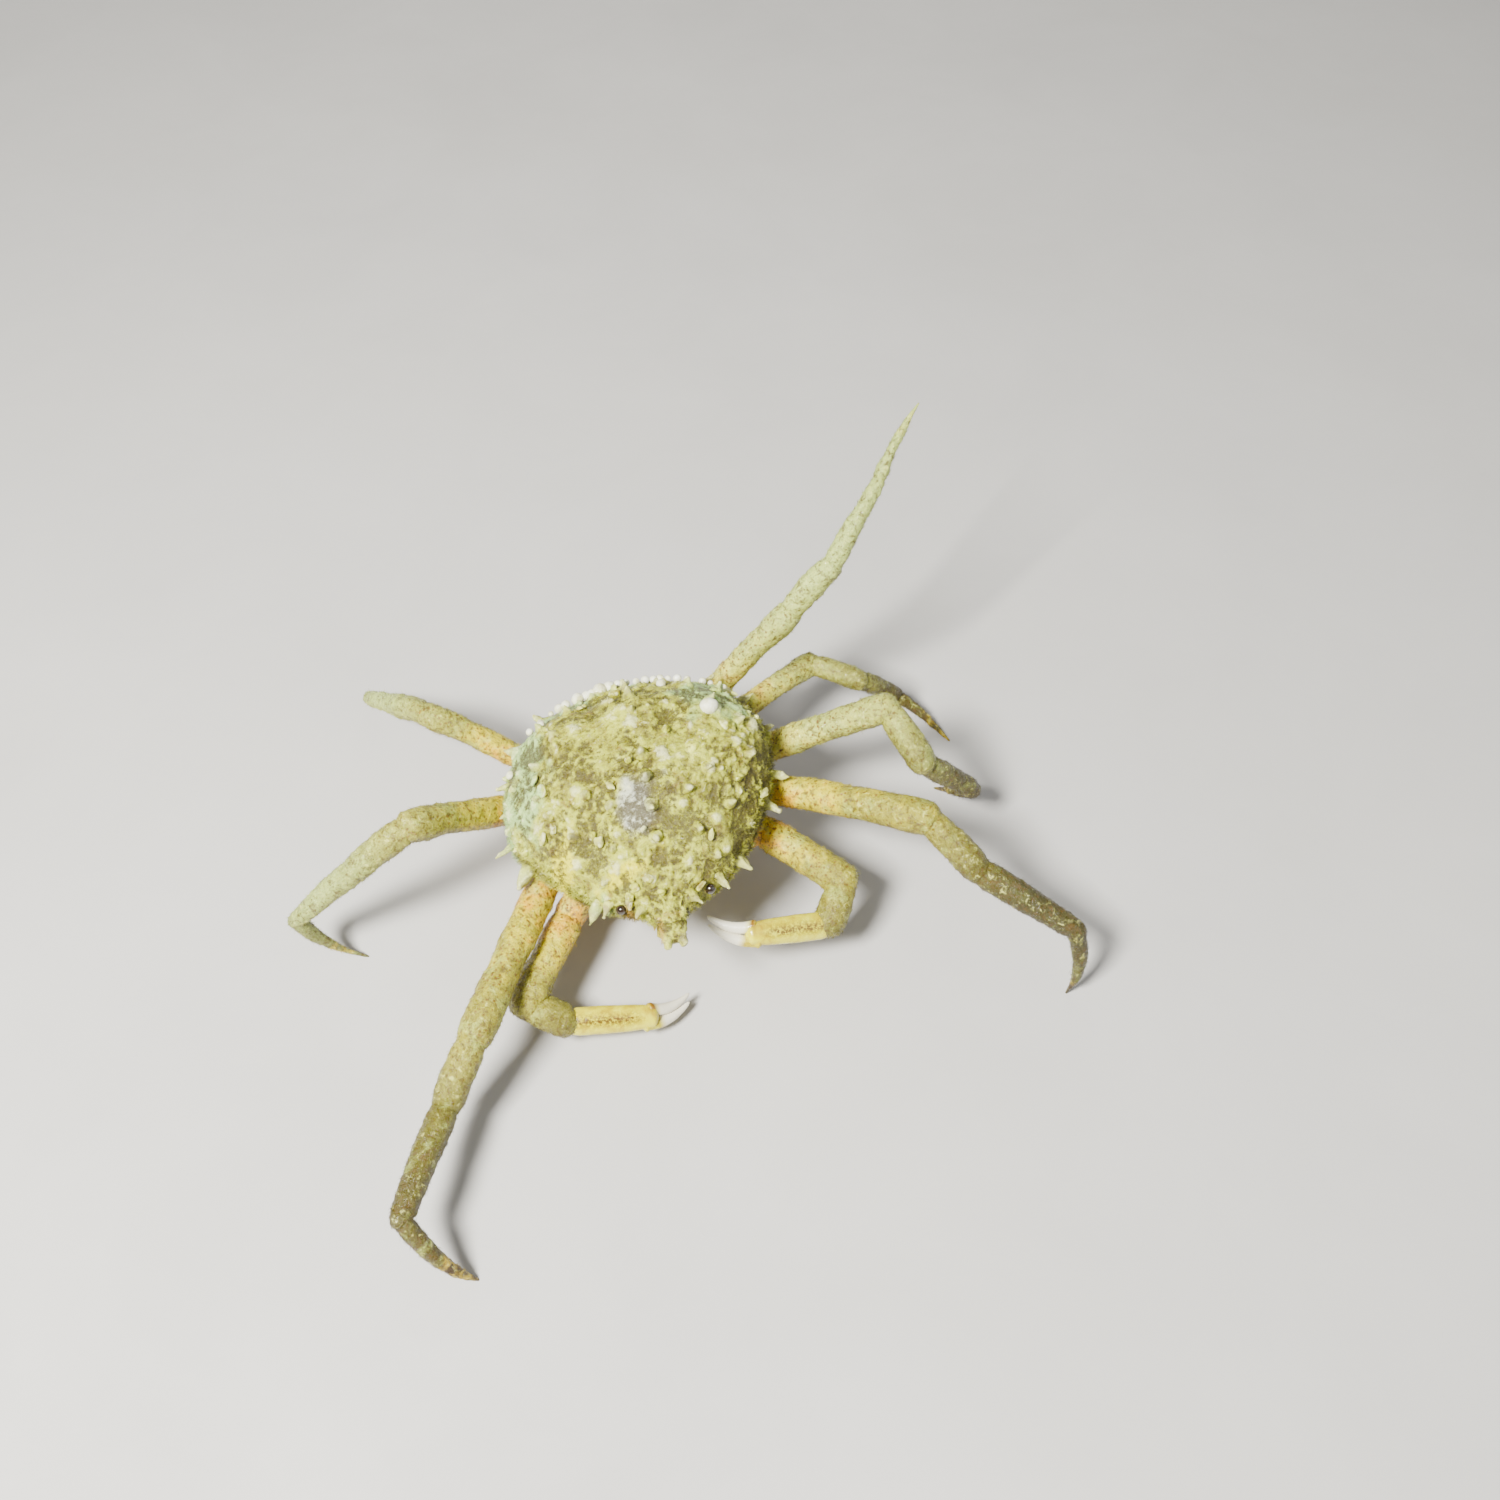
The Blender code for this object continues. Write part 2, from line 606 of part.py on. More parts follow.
def make_flap(thorax_cutter, group):
    """The tail flap: it lies face to face with the thorax and rounds its rear end."""
    rings = []
    for i, (y, z, half) in enumerate(FLAP_ROWS):
        before = FLAP_ROWS[max(i - 1, 0)]
        after = FLAP_ROWS[min(i + 1, len(FLAP_ROWS) - 1)]
        way = unit(np.array([0.0, after[0] - before[0], after[1] - before[1]]))
        face = np.array([0.0, -way[2], way[1]])
        deep = FLAP_THICK + (FLAP_RIB if i % 2 else 0.0)
        ring = []
        for u in (-1.0, -0.6, 0.0, 0.6, 1.0):
            bulge = deep * (0.55 - 0.4 * u * u)
            ring.append(np.array([half * u, y, z]) + face * bulge)
        for u in (1.0, 0.0, -1.0):
            ring.append(np.array([half * u, y, z]) - face * deep * 0.6)
        rings.append(ring)
    flap = loft("tail_flap", rings, group, BELLY_COLOUR)
    cut(flap, thorax_cutter)
    keep_largest(flap)
    return flap


def make_mouthparts(thorax_cutter, group):
    for side, word in ((1.0, "left"), (-1.0, "right")):
        rows = [(side * x, y, z - 1.0, half) for x, y, z, half in MOUTH_ROWS]
        rings = []
        for x, y, z, half in rows:
            ring = []
            for j in range(8):
                a = 2 * math.pi * j / 8
                across = half * math.cos(a)
                deep = MOUTH_THICK * math.sin(a)
                ring.append(np.array([x + across, y - 0.45 * deep, z + 0.8 * deep]))
            rings.append(ring)
        plate = loft("mouthpart_" + word, rings, group, BELLY_COLOUR)
        cut(plate, thorax_cutter)
        keep_largest(plate)


def make_feeler(side, word, group):
    path = [np.array([side * x, y, z]) for x, y, z in FEELER_PATH]
    rings = []
    for i, middle in enumerate(path):
        way = unit(path[min(i + 1, 3)] - path[max(i - 1, 0)])
        first, second = frame_across(way, UP)
        angles = [2 * math.pi * j / 6 for j in range(6)]
        arms = [math.cos(a) * first + math.sin(a) * second for a in angles]
        rings.append([middle + FEELER_RADII[i] * arm for arm in arms])
    return loft("feeler_" + word, rings, group, LEG_COLOUR)


def make_leg(limb, thorax_cutter, group):
    """A walking leg of five nodes, the first cut to stand off the thorax by the gap."""
    points = joints_of(limb)
    planes = planes_of(points, limb not in RAISED)
    for i, kind in enumerate(SEGMENTS):
        radius = RADII[limb.rsplit("_", 1)[0]][i]
        name = limb + "_" + kind
        span = (points[i], points[i + 1])
        if i == 4 and limb not in RAISED:
            span = (points[i], points[i + 1] - np.array([0.0, 0.0, GAP / 2]))
        hint = points[i] - points[i - 1] + 4.0 * UP if kind == "dactyl" else UP
        piece = segment(name, *span, kind, radius, planes[i : i + 2], group, LEG_COLOUR,
                        hint=hint)
        if i == 0:
            cut(piece, thorax_cutter)
            keep_largest(piece)


def opening_of(way):
    """The direction across a palm in which its two fingers part."""
    level = unit(np.cross(UP, way))
    if level[1] < 0:
        level = -level
    rise = unit(UP - np.dot(UP, way) * way)
    tilt = math.radians(FINGERS_TILT)
    return unit(math.cos(tilt) * level + math.sin(tilt) * rise)


def claw_finger(name, start, end, bend, radius, way, group, colour):
    """A curved tapering finger from a flat root to a blunt point."""
    direction = unit(end - start)
    first, second = frame_across(direction, bend)
    rings = []
    for share, size in PROFILES["finger"]:
        middle = start + (end - start) * share - bend * FINGERS_CURL * 4 * share * (1 - share)
        ring = []
        for j in range(RING):
            a = 2 * math.pi * j / RING
            arm = size * radius * (0.85 * math.cos(a) * first + math.sin(a) * second)
            slide = -np.dot(arm, way) / np.dot(direction, way) * (1 - share)
            ring.append(middle + arm + slide * direction)
        rings.append(ring)
    return loft(name, rings, group, colour)


def make_claw(limb, thorax_cutter, group):
    """A claw-bearing limb: the fixed finger is fused to the palm, the other is a node."""
    points = joints_of(limb)
    planes = planes_of(points, False)
    way = unit(points[4] - points[3])
    opening = opening_of(way)
    planes[4] = way
    radii = RADII["claw"]
    for i, kind in enumerate(CLAW_SEGMENTS[:4]):
        name = limb + "_" + kind
        thin = PALM_THIN if kind == "palm" else 1.0
        hint = opening if kind == "palm" else UP
        colour = CLAW_COLOUR if kind == "palm" else LEG_COLOUR
        piece = segment(name, points[i], points[i + 1], kind, radii[i], planes[i : i + 2],
                        group, colour, thin, hint)
        if i == 0:
            cut(piece, thorax_cutter)
            keep_largest(piece)
        if kind == "palm":
            start = points[4] - opening * FINGERS_APART - way * FINGER_ROOT
            tip = points[5] - opening * FINGER_TIPS_APART
            fixed = claw_finger("fixed", start, tip, opening, radii[4], way, group, None)
            unite(piece, [fixed])
    start = points[4] + opening * FINGERS_APART + way * GAP
    tip = points[5] + opening * FINGER_TIPS_APART
    claw_finger(limb + "_finger", start, tip, opening, radii[4], way, group, TIP_COLOUR)


def lean(thing):
    """Tips a piece of the body to the right, by a rise in proportion to the distance left."""
    for vertex in thing.data.vertices:
        vertex.co.z += LEAN * vertex.co.x


def settle(group):
    """Moves the whole so that the origin lies under the middle of its box, on the floor."""
    corners = [np.array(v.co) for thing in group.objects for v in thing.data.vertices]
    low, high = np.min(corners, axis=0), np.max(corners, axis=0)
    shift = np.array([-(low[0] + high[0]) / 2, -(low[1] + high[1]) / 2, -low[2]])
    for thing in group.objects:
        thing.location = tuple(shift)


def main():
    clear_file()
    group = named_collection("spider_crab")
    cutters = named_collection("cutters")
    thorax_cutter = make_thorax("thorax_clearance", GAP, cutters, None)
    thorax_cutter.hide_render = True
    thorax_cutter.display_type = "WIRE"
    make_shell(group)
    make_thorax("thorax", 0.0, group, BELLY_COLOUR)
    make_flap(thorax_cutter, group)
    make_mouthparts(thorax_cutter, group)
    for side, word in ((1.0, "left"), (-1.0, "right")):
        make_eye("eye_" + word, side, 0.0, group, EYE_COLOUR)
        make_feeler(side, word, group)
    for thing in (*group.objects, thorax_cutter):
        lean(thing)
    for word in ("left", "right"):
        make_claw("claw_" + word, thorax_cutter, group)
        for pair in ("leg_1", "leg_2", "leg_3", "leg_4"):
            make_leg(pair + "_" + word, thorax_cutter, group)
    settle(group)


main()
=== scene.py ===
"""Looks of a life-size spider crab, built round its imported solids.

Every surface is worked out with numpy in millimetres, in the crab's own frame: the middle of
the shell stands over the origin, the crab looks along -Y, its left is +X and the floor is at
Z = 0. PLACE then moves it to the frame of the solids, in metres.
"""

import logging
import math
import random
from dataclasses import dataclass, field
from enum import Enum

import bpy
import numpy as np
from mathutils import Matrix, Vector


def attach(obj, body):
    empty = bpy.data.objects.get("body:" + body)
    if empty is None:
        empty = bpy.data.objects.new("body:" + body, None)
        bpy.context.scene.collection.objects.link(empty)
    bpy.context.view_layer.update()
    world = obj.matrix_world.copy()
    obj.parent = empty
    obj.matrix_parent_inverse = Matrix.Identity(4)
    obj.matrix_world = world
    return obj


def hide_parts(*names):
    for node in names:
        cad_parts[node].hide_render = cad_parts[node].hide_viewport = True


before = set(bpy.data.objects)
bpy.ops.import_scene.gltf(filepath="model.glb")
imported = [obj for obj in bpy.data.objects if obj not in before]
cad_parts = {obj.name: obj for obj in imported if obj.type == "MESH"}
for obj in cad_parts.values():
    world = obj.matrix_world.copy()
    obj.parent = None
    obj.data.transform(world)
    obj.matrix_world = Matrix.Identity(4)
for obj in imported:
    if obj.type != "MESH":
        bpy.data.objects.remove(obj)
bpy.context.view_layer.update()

LOG = logging.getLogger("crab")
MM = 0.001
PLACE = np.array([-4.42005, 19.16698, 0.0])
BODY = "root"
UP = np.array([0.0, 0.0, 1.0])
LEAN = 0.1
GOLDEN = 0.618034
Array = np.ndarray
Colour = tuple[float, float, float]
Stops = tuple[tuple[float, Colour], ...]


class Slot(Enum):
    """The record's material slots."""

    SHELL = "shell"
    BELLY = "belly"
    LEG = "leg"
    CLAW = "claw"
    FINGERTIP = "fingertip"
    EYE = "eye"


# Sizes in millimetres and degrees, most of them shared with the solids.
# Shell rows: Y, half width, top, level of the widest point, underside.
SHELL_ROWS = np.array([
    (-51.3, 2.3, 40.2, 38.8, 37.2), (-46.5, 3.0, 41.0, 38.2, 36.0),
    (-43.5, 5.2, 41.8, 37.6, 35.0), (-41.0, 8.8, 43.0, 37.0, 33.4),
    (-38.0, 13.0, 45.0, 36.5, 31.8), (-34.0, 17.6, 48.0, 36.0, 30.6),
    (-29.0, 22.0, 51.2, 35.5, 30.3), (-23.0, 26.0, 54.0, 35.0, 30.2),
    (-16.0, 29.8, 56.2, 34.5, 30.2), (-8.0, 32.4, 57.0, 34.0, 30.2),
    (0.0, 33.0, 56.0, 34.0, 30.2), (8.0, 31.0, 53.2, 33.5, 30.2),
    (15.4, 26.0, 47.2, 33.0, 30.2), (20.8, 19.0, 42.4, 33.0, 30.3),
    (23.8, 12.5, 39.0, 33.0, 30.6), (25.2, 6.5, 36.2, 33.3, 31.2)])
# Swellings and hollows of the shell: X, Y, height and spreads, on both sides of the middle.
REGIONS = (
    (0.0, -20.0, 1.7, 8.0, 9.0), (0.0, 5.0, 1.7, 6.5, 6.0), (0.0, 16.0, 1.1, 7.0, 4.0),
    (17.0, 4.0, 1.5, 8.0, 10.0), (20.0, -11.0, 1.0, 6.0, 5.0), (15.0, -30.0, 1.2, 4.0, 4.0),
    (9.5, -6.0, -1.3, 3.5, 6.0), (10.0, 12.0, -0.9, 3.0, 6.0), (12.0, -24.0, -1.0, 3.0, 3.5),
    (0.0, -7.0, -0.6, 5.0, 3.0))
# How much fuller the right side is, where, and over what spread.
CRUST_SHARE, CRUST_Y, CRUST_SPREAD = 0.1, -18.0, 10.0
# Spines of the middle line: Y, length.
MEDIAN_SPINES = ((-31.0, 2.6), (-25.0, 3.0), (-18.5, 3.2), (-12.0, 2.6), (1.5, 3.2),
                 (8.0, 3.0), (14.5, 2.6), (20.0, 2.4))
# Spines of the rim: side or 0 for both, X, Y, Z, bearing, rise, length, radius.
SIDE_SPINES = (
    (0, 32.0, 3.5, 35.5, 6.0, 10.0, 3.4, 1.1), (0, 28.6, 12.0, 37.5, 22.0, 18.0, 3.8, 1.3),
    (0, 21.5, 20.0, 38.0, 46.0, 18.0, 3.0, 1.2), (0, 12.8, -37.2, 38.0, -62.0, 6.0, 4.2, 1.3),
    (0, 6.3, -43.0, 40.6, -58.0, 24.0, 2.8, 1.0), (1, 31.4, -9.9, 34.3, -20.0, 4.0, 4.6, 1.4),
    (1, 28.0, -17.5, 34.0, -38.0, 0.0, 4.6, 1.5), (1, 17.4, -30.6, 35.0, -48.0, 2.0, 6.0, 2.1),
    (-1, 32.4, -3.0, 34.5, -20.0, 4.0, 3.2, 1.1), (-1, 31.4, -11.7, 33.5, -22.0, 0.0, 6.8, 1.1),
    (-1, 29.2, -19.0, 33.0, -50.0, -4.0, 6.6, 2.4), (-1, 15.6, -36.0, 35.6, -58.0, 2.0, 4.8, 1.6))
# Spines on top, on both sides: X, Y, length.
UPPER_SPINES = (
    (19.0, 2.0, 2.6), (24.5, -4.0, 2.4), (15.0, 10.5, 2.4), (22.0, 9.5, 2.2),
    (9.0, -22.0, 2.2), (14.5, -17.5, 2.0), (18.5, -24.5, 2.2), (10.0, -30.5, 2.0),
    (25.0, -13.0, 2.2), (8.0, 17.5, 1.9), (13.0, -35.0, 1.8))
# The two horns at the rostrum's tip, the left one.
HORN_ROOT, HORN_TIP = np.array([1.25, -49.6, 38.8]), np.array([1.95, -53.3, 39.1])
HORN_RADIUS = 1.3
# Large lumps on top: X, Y, radius, seed. Beads are white and lumps are crusted.
BIG_BEADS = ((17.9, -1.0, 2.3, 300), (-21.5, 10.5, 1.3, 301), (-30.5, 1.0, 1.1, 304),
             (9.0, 16.0, 1.3, 305))
BIG_LUMPS = ((-24.0, -12.0, 1.7, 302), (21.0, -6.0, 1.6, 303), (-19.0, -2.0, 1.9, 306),
             (12.0, -12.0, 1.8, 307))
# Coloured places of the shell: top share, then the weight, X, Y and spreads of each spot.
MARKS = {
    "green": (0.8, ((1.0, -31.0, -10.0, 7.5, 11.0), (1.1, 20.0, 6.0, 9.0, 10.0),
                    (0.9, -27.0, 6.0, 7.0, 9.0), (0.8, -17.0, 15.0, 9.0, 6.0),
                    (0.6, 2.0, 20.0, 12.0, 4.0), (0.8, -15.0, -37.0, 4.0, 3.0))),
    "yellow": (0.9, ((1.0, -21.5, -27.0, 4.0, 5.0), (1.1, -9.5, -35.5, 7.0, 2.0),
                     (0.6, 4.0, -33.0, 5.0, 3.0), (0.5, 22.0, -12.0, 3.0, 3.0),
                     (0.4, -22.0, 3.0, 5.0, 4.0))),
    # The greyish spot in the middle front is partly a grey place and partly a painted wet
    # reflection.
    "grey_reflection": (0.7, ((0.9, -3.5, -24.0, 7.0, 8.5),)),
    "rust": (0.7, ((1.0, -2.8, -49.0, 1.5, 5.0), (0.7, -9.0, -42.0, 2.5, 3.0))),
}
# Breast rows: Y, half width, underside.
THORAX_ROWS = np.array([
    (-34.5, 6.8, 26.0), (-30.0, 9.2, 22.6), (-24.0, 12.2, 19.6), (-16.0, 15.4, 17.2),
    (-8.0, 18.0, 16.4), (2.0, 19.2, 16.2), (11.0, 18.0, 16.6), (18.0, 15.5, 18.0),
    (22.2, 11.0, 20.5), (23.4, 7.0, 23.5)])
# Rows along the tail flap and along a mouth plate: place, then half width.
FLAP_ROWS = np.array([
    (25.5, 27.2, 7.0), (25.4, 23.8, 8.6), (24.1, 20.2, 10.0), (21.0, 17.2, 11.2),
    (15.0, 15.7, 12.2), (9.0, 15.2, 12.6), (3.0, 15.0, 12.2), (-3.0, 15.0, 10.6),
    (-7.5, 15.1, 7.6), (-11.0, 15.5, 3.4)])
MOUTH_ROWS = np.array([(3.3, -18.0, 16.0, 2.2), (3.3, -23.0, 17.5, 2.9), (3.3, -28.5, 20.3, 3.0),
                       (3.2, -33.0, 23.6, 2.8), (3.0, -36.0, 27.0, 2.0)])
PALP_PATH = np.array([(4.0, -36.6, 26.6), (2.6, -38.0, 25.2), (2.0, -37.4, 22.8),
                      (1.7, -35.2, 20.2), (1.6, -33.0, 18.8)])
FEELER_PATH = np.array([(2.9, -38.6, 30.8), (3.2, -41.0, 32.0), (3.5, -43.4, 33.7),
                        (3.8, -45.6, 34.8)])
# Thickness of palp and feeler: step along the path, radius.
PALP_RADII = np.array([(0, 0.7), (0.5, 1.05), (1, 0.75), (1.5, 1.0), (2, 0.65), (2.5, 0.8),
                       (3, 0.5), (4, 0.2)])
FEELER_RADII = np.array([(0, 0.9), (0.9, 0.85), (1.0, 0.68), (1.1, 0.8), (2.0, 0.6), (2.1, 0.36),
                         (3.0, 0.14)])
EYE_SEAT, EYE_TIP = np.array([7.2, -36.8, 37.0]), np.array([11.6, -40.9, 38.0])
EYE_RADIUS, EYE_SUNK = 1.3, 1.6
# Thickness of an eye's stalk: distance from its seat, radius.
STALK_ROWS = np.array([(0.0, 0.9), (0.4, 1.15), (1.0, 1.1), (1.8, 1.0), (2.6, 1.02), (3.4, 1.2),
                       (4.0, 1.25), (4.5, 0.5)])
SEGMENTS = ("base", "merus", "carpus", "propodus", "dactyl")
# Limbs: root on the left, then lengths and radii of the five segments.
LIMBS = {
    "claw": ((13.5, -18.0, 23.5), (14.0, 24.6, 11.2, 20.5, 11.0), (4.1, 4.3, 3.9, 3.4, 1.4)),
    "leg_1": ((18.0, -8.5, 24.0), (12.0, 46.5, 17.0, 27.5, 25.0), (4.2, 4.2, 3.7, 3.5, 2.4)),
    "leg_2": ((20.0, 1.5, 23.5), (12.0, 37.0, 16.5, 25.5, 23.5), (4.1, 3.9, 3.5, 3.0, 2.0)),
    "leg_3": ((19.0, 11.0, 23.5), (12.0, 27.5, 14.5, 22.0, 20.0), (3.8, 3.3, 3.0, 2.6, 1.8)),
    "leg_4": ((14.5, 18.5, 24.5), (12.0, 34.0, 17.0, 23.0, 21.5), (3.8, 3.5, 3.2, 2.5, 1.6)),
}
# The pose: bearings and rises of the five segments.
POSE = {
    "claw_right": ((-135, -123, -21, -5, 25), (-22, -4, -32, -5, -14)),
    "claw_left": ((6, -45, -125, -175, 154), (0, -8, -30, 15, 10)),
    "leg_1_right": ((-130, -118, -129, -115, -38), (0, 4, -34, 6, -47)),
    "leg_1_left": ((12, -39, -48, -37, -78), (8, 19, -30, -20, -85)),
    "leg_2_right": ((168, -145, -165, 178, -8), (1, 39, -28, -45, -61)),
    "leg_2_left": ((18, -13, -62, 12, 105), (7, 31, -30, -51, -49)),
    "leg_3_right": ((135, 158, 129, 118, 92), (0, 30, -26, -38, -52)),
    "leg_3_left": ((40, 31, -36, 25, -43), (7, -3, 2, -49, -28)),
    "leg_4_right": ((115, 30, -25, -80, -105), (-35, -20, -1, 0, -14)),
    "leg_4_left": ((42, -1, 9, 41, 41), (6, 53, 50, 36, 41)),
}
RAISED = ("claw_right", "claw_left", "leg_4_left")
TUFT_SIDES, TUFT_PATCH = 3, 0.003


def srgb(red: int, green: int, blue: int) -> Colour:
    """A colour as the eye names it, 0 to 255, turned into light values.

    Args:
        red: Red share.
        green: Green share.
        blue: Blue share.

    Returns:
        Linear red, green and blue.
    """
    shares = (c / 255.0 for c in (red, green, blue))
    return tuple(c / 12.92 if c < 0.04 else ((c + 0.055) / 1.055) ** 2.4 for c in shares)


def unit(vectors: Array) -> Array:
    """Vectors scaled to length one along the last axis."""
    return vectors / np.maximum(np.linalg.norm(vectors, axis=-1, keepdims=True), 1e-12)


def pointing(bearing: float, rise: float) -> Array:
    """The unit vector of a bearing from +X and a rise over the floor, both in degrees."""
    b, r = math.radians(bearing), math.radians(rise)
    return np.array([math.cos(r) * math.cos(b), math.cos(r) * math.sin(b), math.sin(r)])


def smooth_rows(rows: Array, at: Array) -> Array:
    """Reads a table's columns along a smooth curve through its rows.

    Between two rows the value is a cubic whose slopes at the rows are those of the table.

    Args:
        rows: Table whose first column rises.
        at: Values of the first column to read at.

    Returns:
        One row of columns for each value.
    """
    at = np.atleast_1d(np.asarray(at, float))
    xs = rows[:, 0]
    slopes = np.gradient(rows, xs, axis=0)
    i = np.clip(np.searchsorted(xs, at) - 1, 0, len(xs) - 2)
    step = (xs[i + 1] - xs[i])[:, None]
    t = (at[:, None] - xs[i][:, None]) / step
    return ((2 * t**3 - 3 * t**2 + 1) * rows[i] + (t**3 - 2 * t**2 + t) * step * slopes[i]
            + (3 * t**2 - 2 * t**3) * rows[i + 1] + (t**3 - t**2) * step * slopes[i + 1])


def hashed(cells: Array, seed: int) -> Array:
    """A fixed pseudo-random number for each whole-numbered cell.

    The cell's three numbers and the seed are each multiplied by a large odd number and
    added, and the sum's bits are mixed by shifts and products.

    Args:
        cells: Whole numbers, any shape with 3 last.
        seed: Picks the numbers.

    Returns:
        A number from 0 to 1 for each cell.
    """
    c = cells.astype(np.int64).astype(np.uint32)
    n = (c[..., 0] * np.uint32(374761393) + c[..., 1] * np.uint32(668265263)
         + c[..., 2] * np.uint32(1274126177) + np.uint32((seed * 974634777) % 2**32))
    n = (n ^ (n >> np.uint32(13))) * np.uint32(1274126177)
    n = (n ^ (n >> np.uint32(15))) * np.uint32(2246822519)
    return ((n ^ (n >> np.uint32(16))) & np.uint32(0xFFFFFF)).astype(float) / 0xFFFFFF


def soft_noise(points: Array, size: float, seed: int) -> Array:
    """Smooth noise from -1 to 1: corner values of a lattice, blended with a smooth step.

    Args:
        points: Places, any shape with 3 last.
        size: Spacing of the lattice.
        seed: Picks the values.

    Returns:
        One value for each place.
    """
    p = points / size
    cell = np.floor(p)
    f = p - cell
    f = f * f * (3 - 2 * f)
    total = np.zeros(points.shape[:-1])
    for corner in np.ndindex(2, 2, 2):
        weight = np.prod(np.where(corner, f, 1 - f), axis=-1)
        total += weight * hashed(cell + np.array(corner), seed)
    return 2 * total - 1


def cloud(points: Array, size: float, seed: int, octaves: int = 4) -> Array:
    """Layers of noise, each half the size and about half the height of the last."""
    return sum(0.55**k * soft_noise(points, size * 0.5**k, seed + k) for k in range(octaves))


def pebbles(points: Array, size: float, seed: int, share: float = 1.0) -> Array:
    """Round bumps, one or none in each cell of a lattice.

    The height is 1 minus the squared distance to the bump's middle over its radius, not
    below 0. The highest bump counts.

    Args:
        points: Places, any shape with 3 last.
        size: Spacing of the lattice.
        seed: Picks the middles and radii.
        share: Share of the cells that hold a bump.

    Returns:
        Heights from 0 to 1.
    """
    cell = np.floor(points / size)
    best = np.zeros(points.shape[:-1])
    for offset in np.ndindex(3, 3, 3):
        near = cell + np.array(offset) - 1
        middle = near + 0.15 + 0.7 * np.stack([hashed(near, seed + k) for k in range(3)], -1)
        reach = 0.35 + 0.35 * hashed(near, seed + 3)
        reach = np.where(hashed(near, seed + 4) < share, reach, 1e-6)
        gap = np.sum((points / size - middle) ** 2, axis=-1) / reach**2
        best = np.maximum(best, (1 - gap) * (0.5 + 0.5 * hashed(near, seed + 5)))
    return best


def spot(points: Array, x: float, y: float, wide: float, deep: float) -> Array:
    """A soft round mask over a place of the plan: one in the middle, falling to 0 outside."""
    return np.exp(-(((points[..., 0] - x) / wide) ** 2) - ((points[..., 1] - y) / deep) ** 2)


def smooth_path(rows: Array, steps: Array) -> Array:
    """Reads a table of rows counted from 0 along a smooth curve through them."""
    return smooth_rows(np.column_stack([np.arange(len(rows)), rows]), steps)[:, 1:]


def beside(vectors: Array, way: Array) -> Array:
    """The unit parts of vectors at right angles to a direction."""
    return unit(vectors - np.sum(vectors * way, -1, keepdims=True) * way)


def across(way: Array, hint: Array) -> tuple[Array, Array]:
    """Two unit vectors across a direction, the second of them nearest to the hint."""
    second = beside(hint, way)
    return np.cross(second, way), second


def turns_of(sides: int) -> Array:
    """Equal turns once round, in radians."""
    return 2 * np.pi * np.arange(sides) / sides


def ring_arms(first: Array, second: Array, turns: Array, thin: float = 1.0) -> Array:
    """Arms from a ring's middle to its points, the ring narrowed along the first vector."""
    return (thin * np.cos(turns)[:, None] * first[..., None, :]
            + np.sin(turns)[:, None] * second[..., None, :])


def swept(line: Array, arms: Array, sizes: Array) -> Array:
    """A grid of rings along a line, the arms of each ring scaled to its size."""
    return line[:, None] + arms * sizes[:, None, None]


def unit_ball(rows: int, sides: int, margin: float) -> Array:
    """A ball of radius 1 as rings from pole to pole.

    Args:
        rows: How many rings.
        sides: Points round.
        margin: Angle from each pole to the ring next to it, in radians.

    Returns:
        The grid.
    """
    angles, turns = np.meshgrid(np.linspace(margin, np.pi - margin, rows), turns_of(sides),
                                indexing="ij")
    return np.stack([np.sin(angles) * np.cos(turns), np.sin(angles) * np.sin(turns),
                     np.cos(angles)], -1)


def rounded_ends(count: int, power: float, least: float = 0.03) -> Array:
    """Ring sizes: the root of 1 minus the distance to the middle raised to a power."""
    return np.sqrt(np.clip(1 - np.abs(np.linspace(-1, 1, count)) ** power, least, 1))


def chart_of(across_share: Array, along_share: Array) -> Array:
    """Places on a skin's unwrap: shares round and along it, with a margin at the edges."""
    return np.stack([across_share, along_share], -1) * 0.9 + 0.03


@dataclass
class Surface:
    """A closed surface in the crab's frame, with values at its points."""

    points: Array
    faces: list[Array]
    values: dict[str, Array] = field(default_factory=dict)

    def outward(self) -> "Surface":
        """Turns the faces round where the enclosed volume comes out below 0.

        Returns:
            The same surface, its faces pointing out.
        """
        volume = 0.0
        for faces in self.faces:
            a, b = self.points[faces[:, 0]], self.points[faces[:, 1]]
            for k in range(2, faces.shape[1]):
                c = self.points[faces[:, k]]
                volume += np.sum(np.cross(a, b) * c)
                b = c
        if volume < 0:
            self.faces = [faces[:, ::-1] for faces in self.faces]
        return self


def joined(parts: list[Surface]) -> Surface:
    """Several surfaces as one, each still closed on its own.

    Args:
        parts: Surfaces with the same named values.

    Returns:
        One surface.
    """
    faces, start = [], 0
    for part in parts:
        faces += [f + start for f in part.faces]
        start += len(part.points)
    sizes = sorted({f.shape[1] for f in faces})
    sets = [np.concatenate([f for f in faces if f.shape[1] == n]) for n in sizes]
    names = parts[0].values
    return Surface(np.concatenate([p.points for p in parts]), sets,
                   {n: np.concatenate([p.values[n] for p in parts]) for n in names})


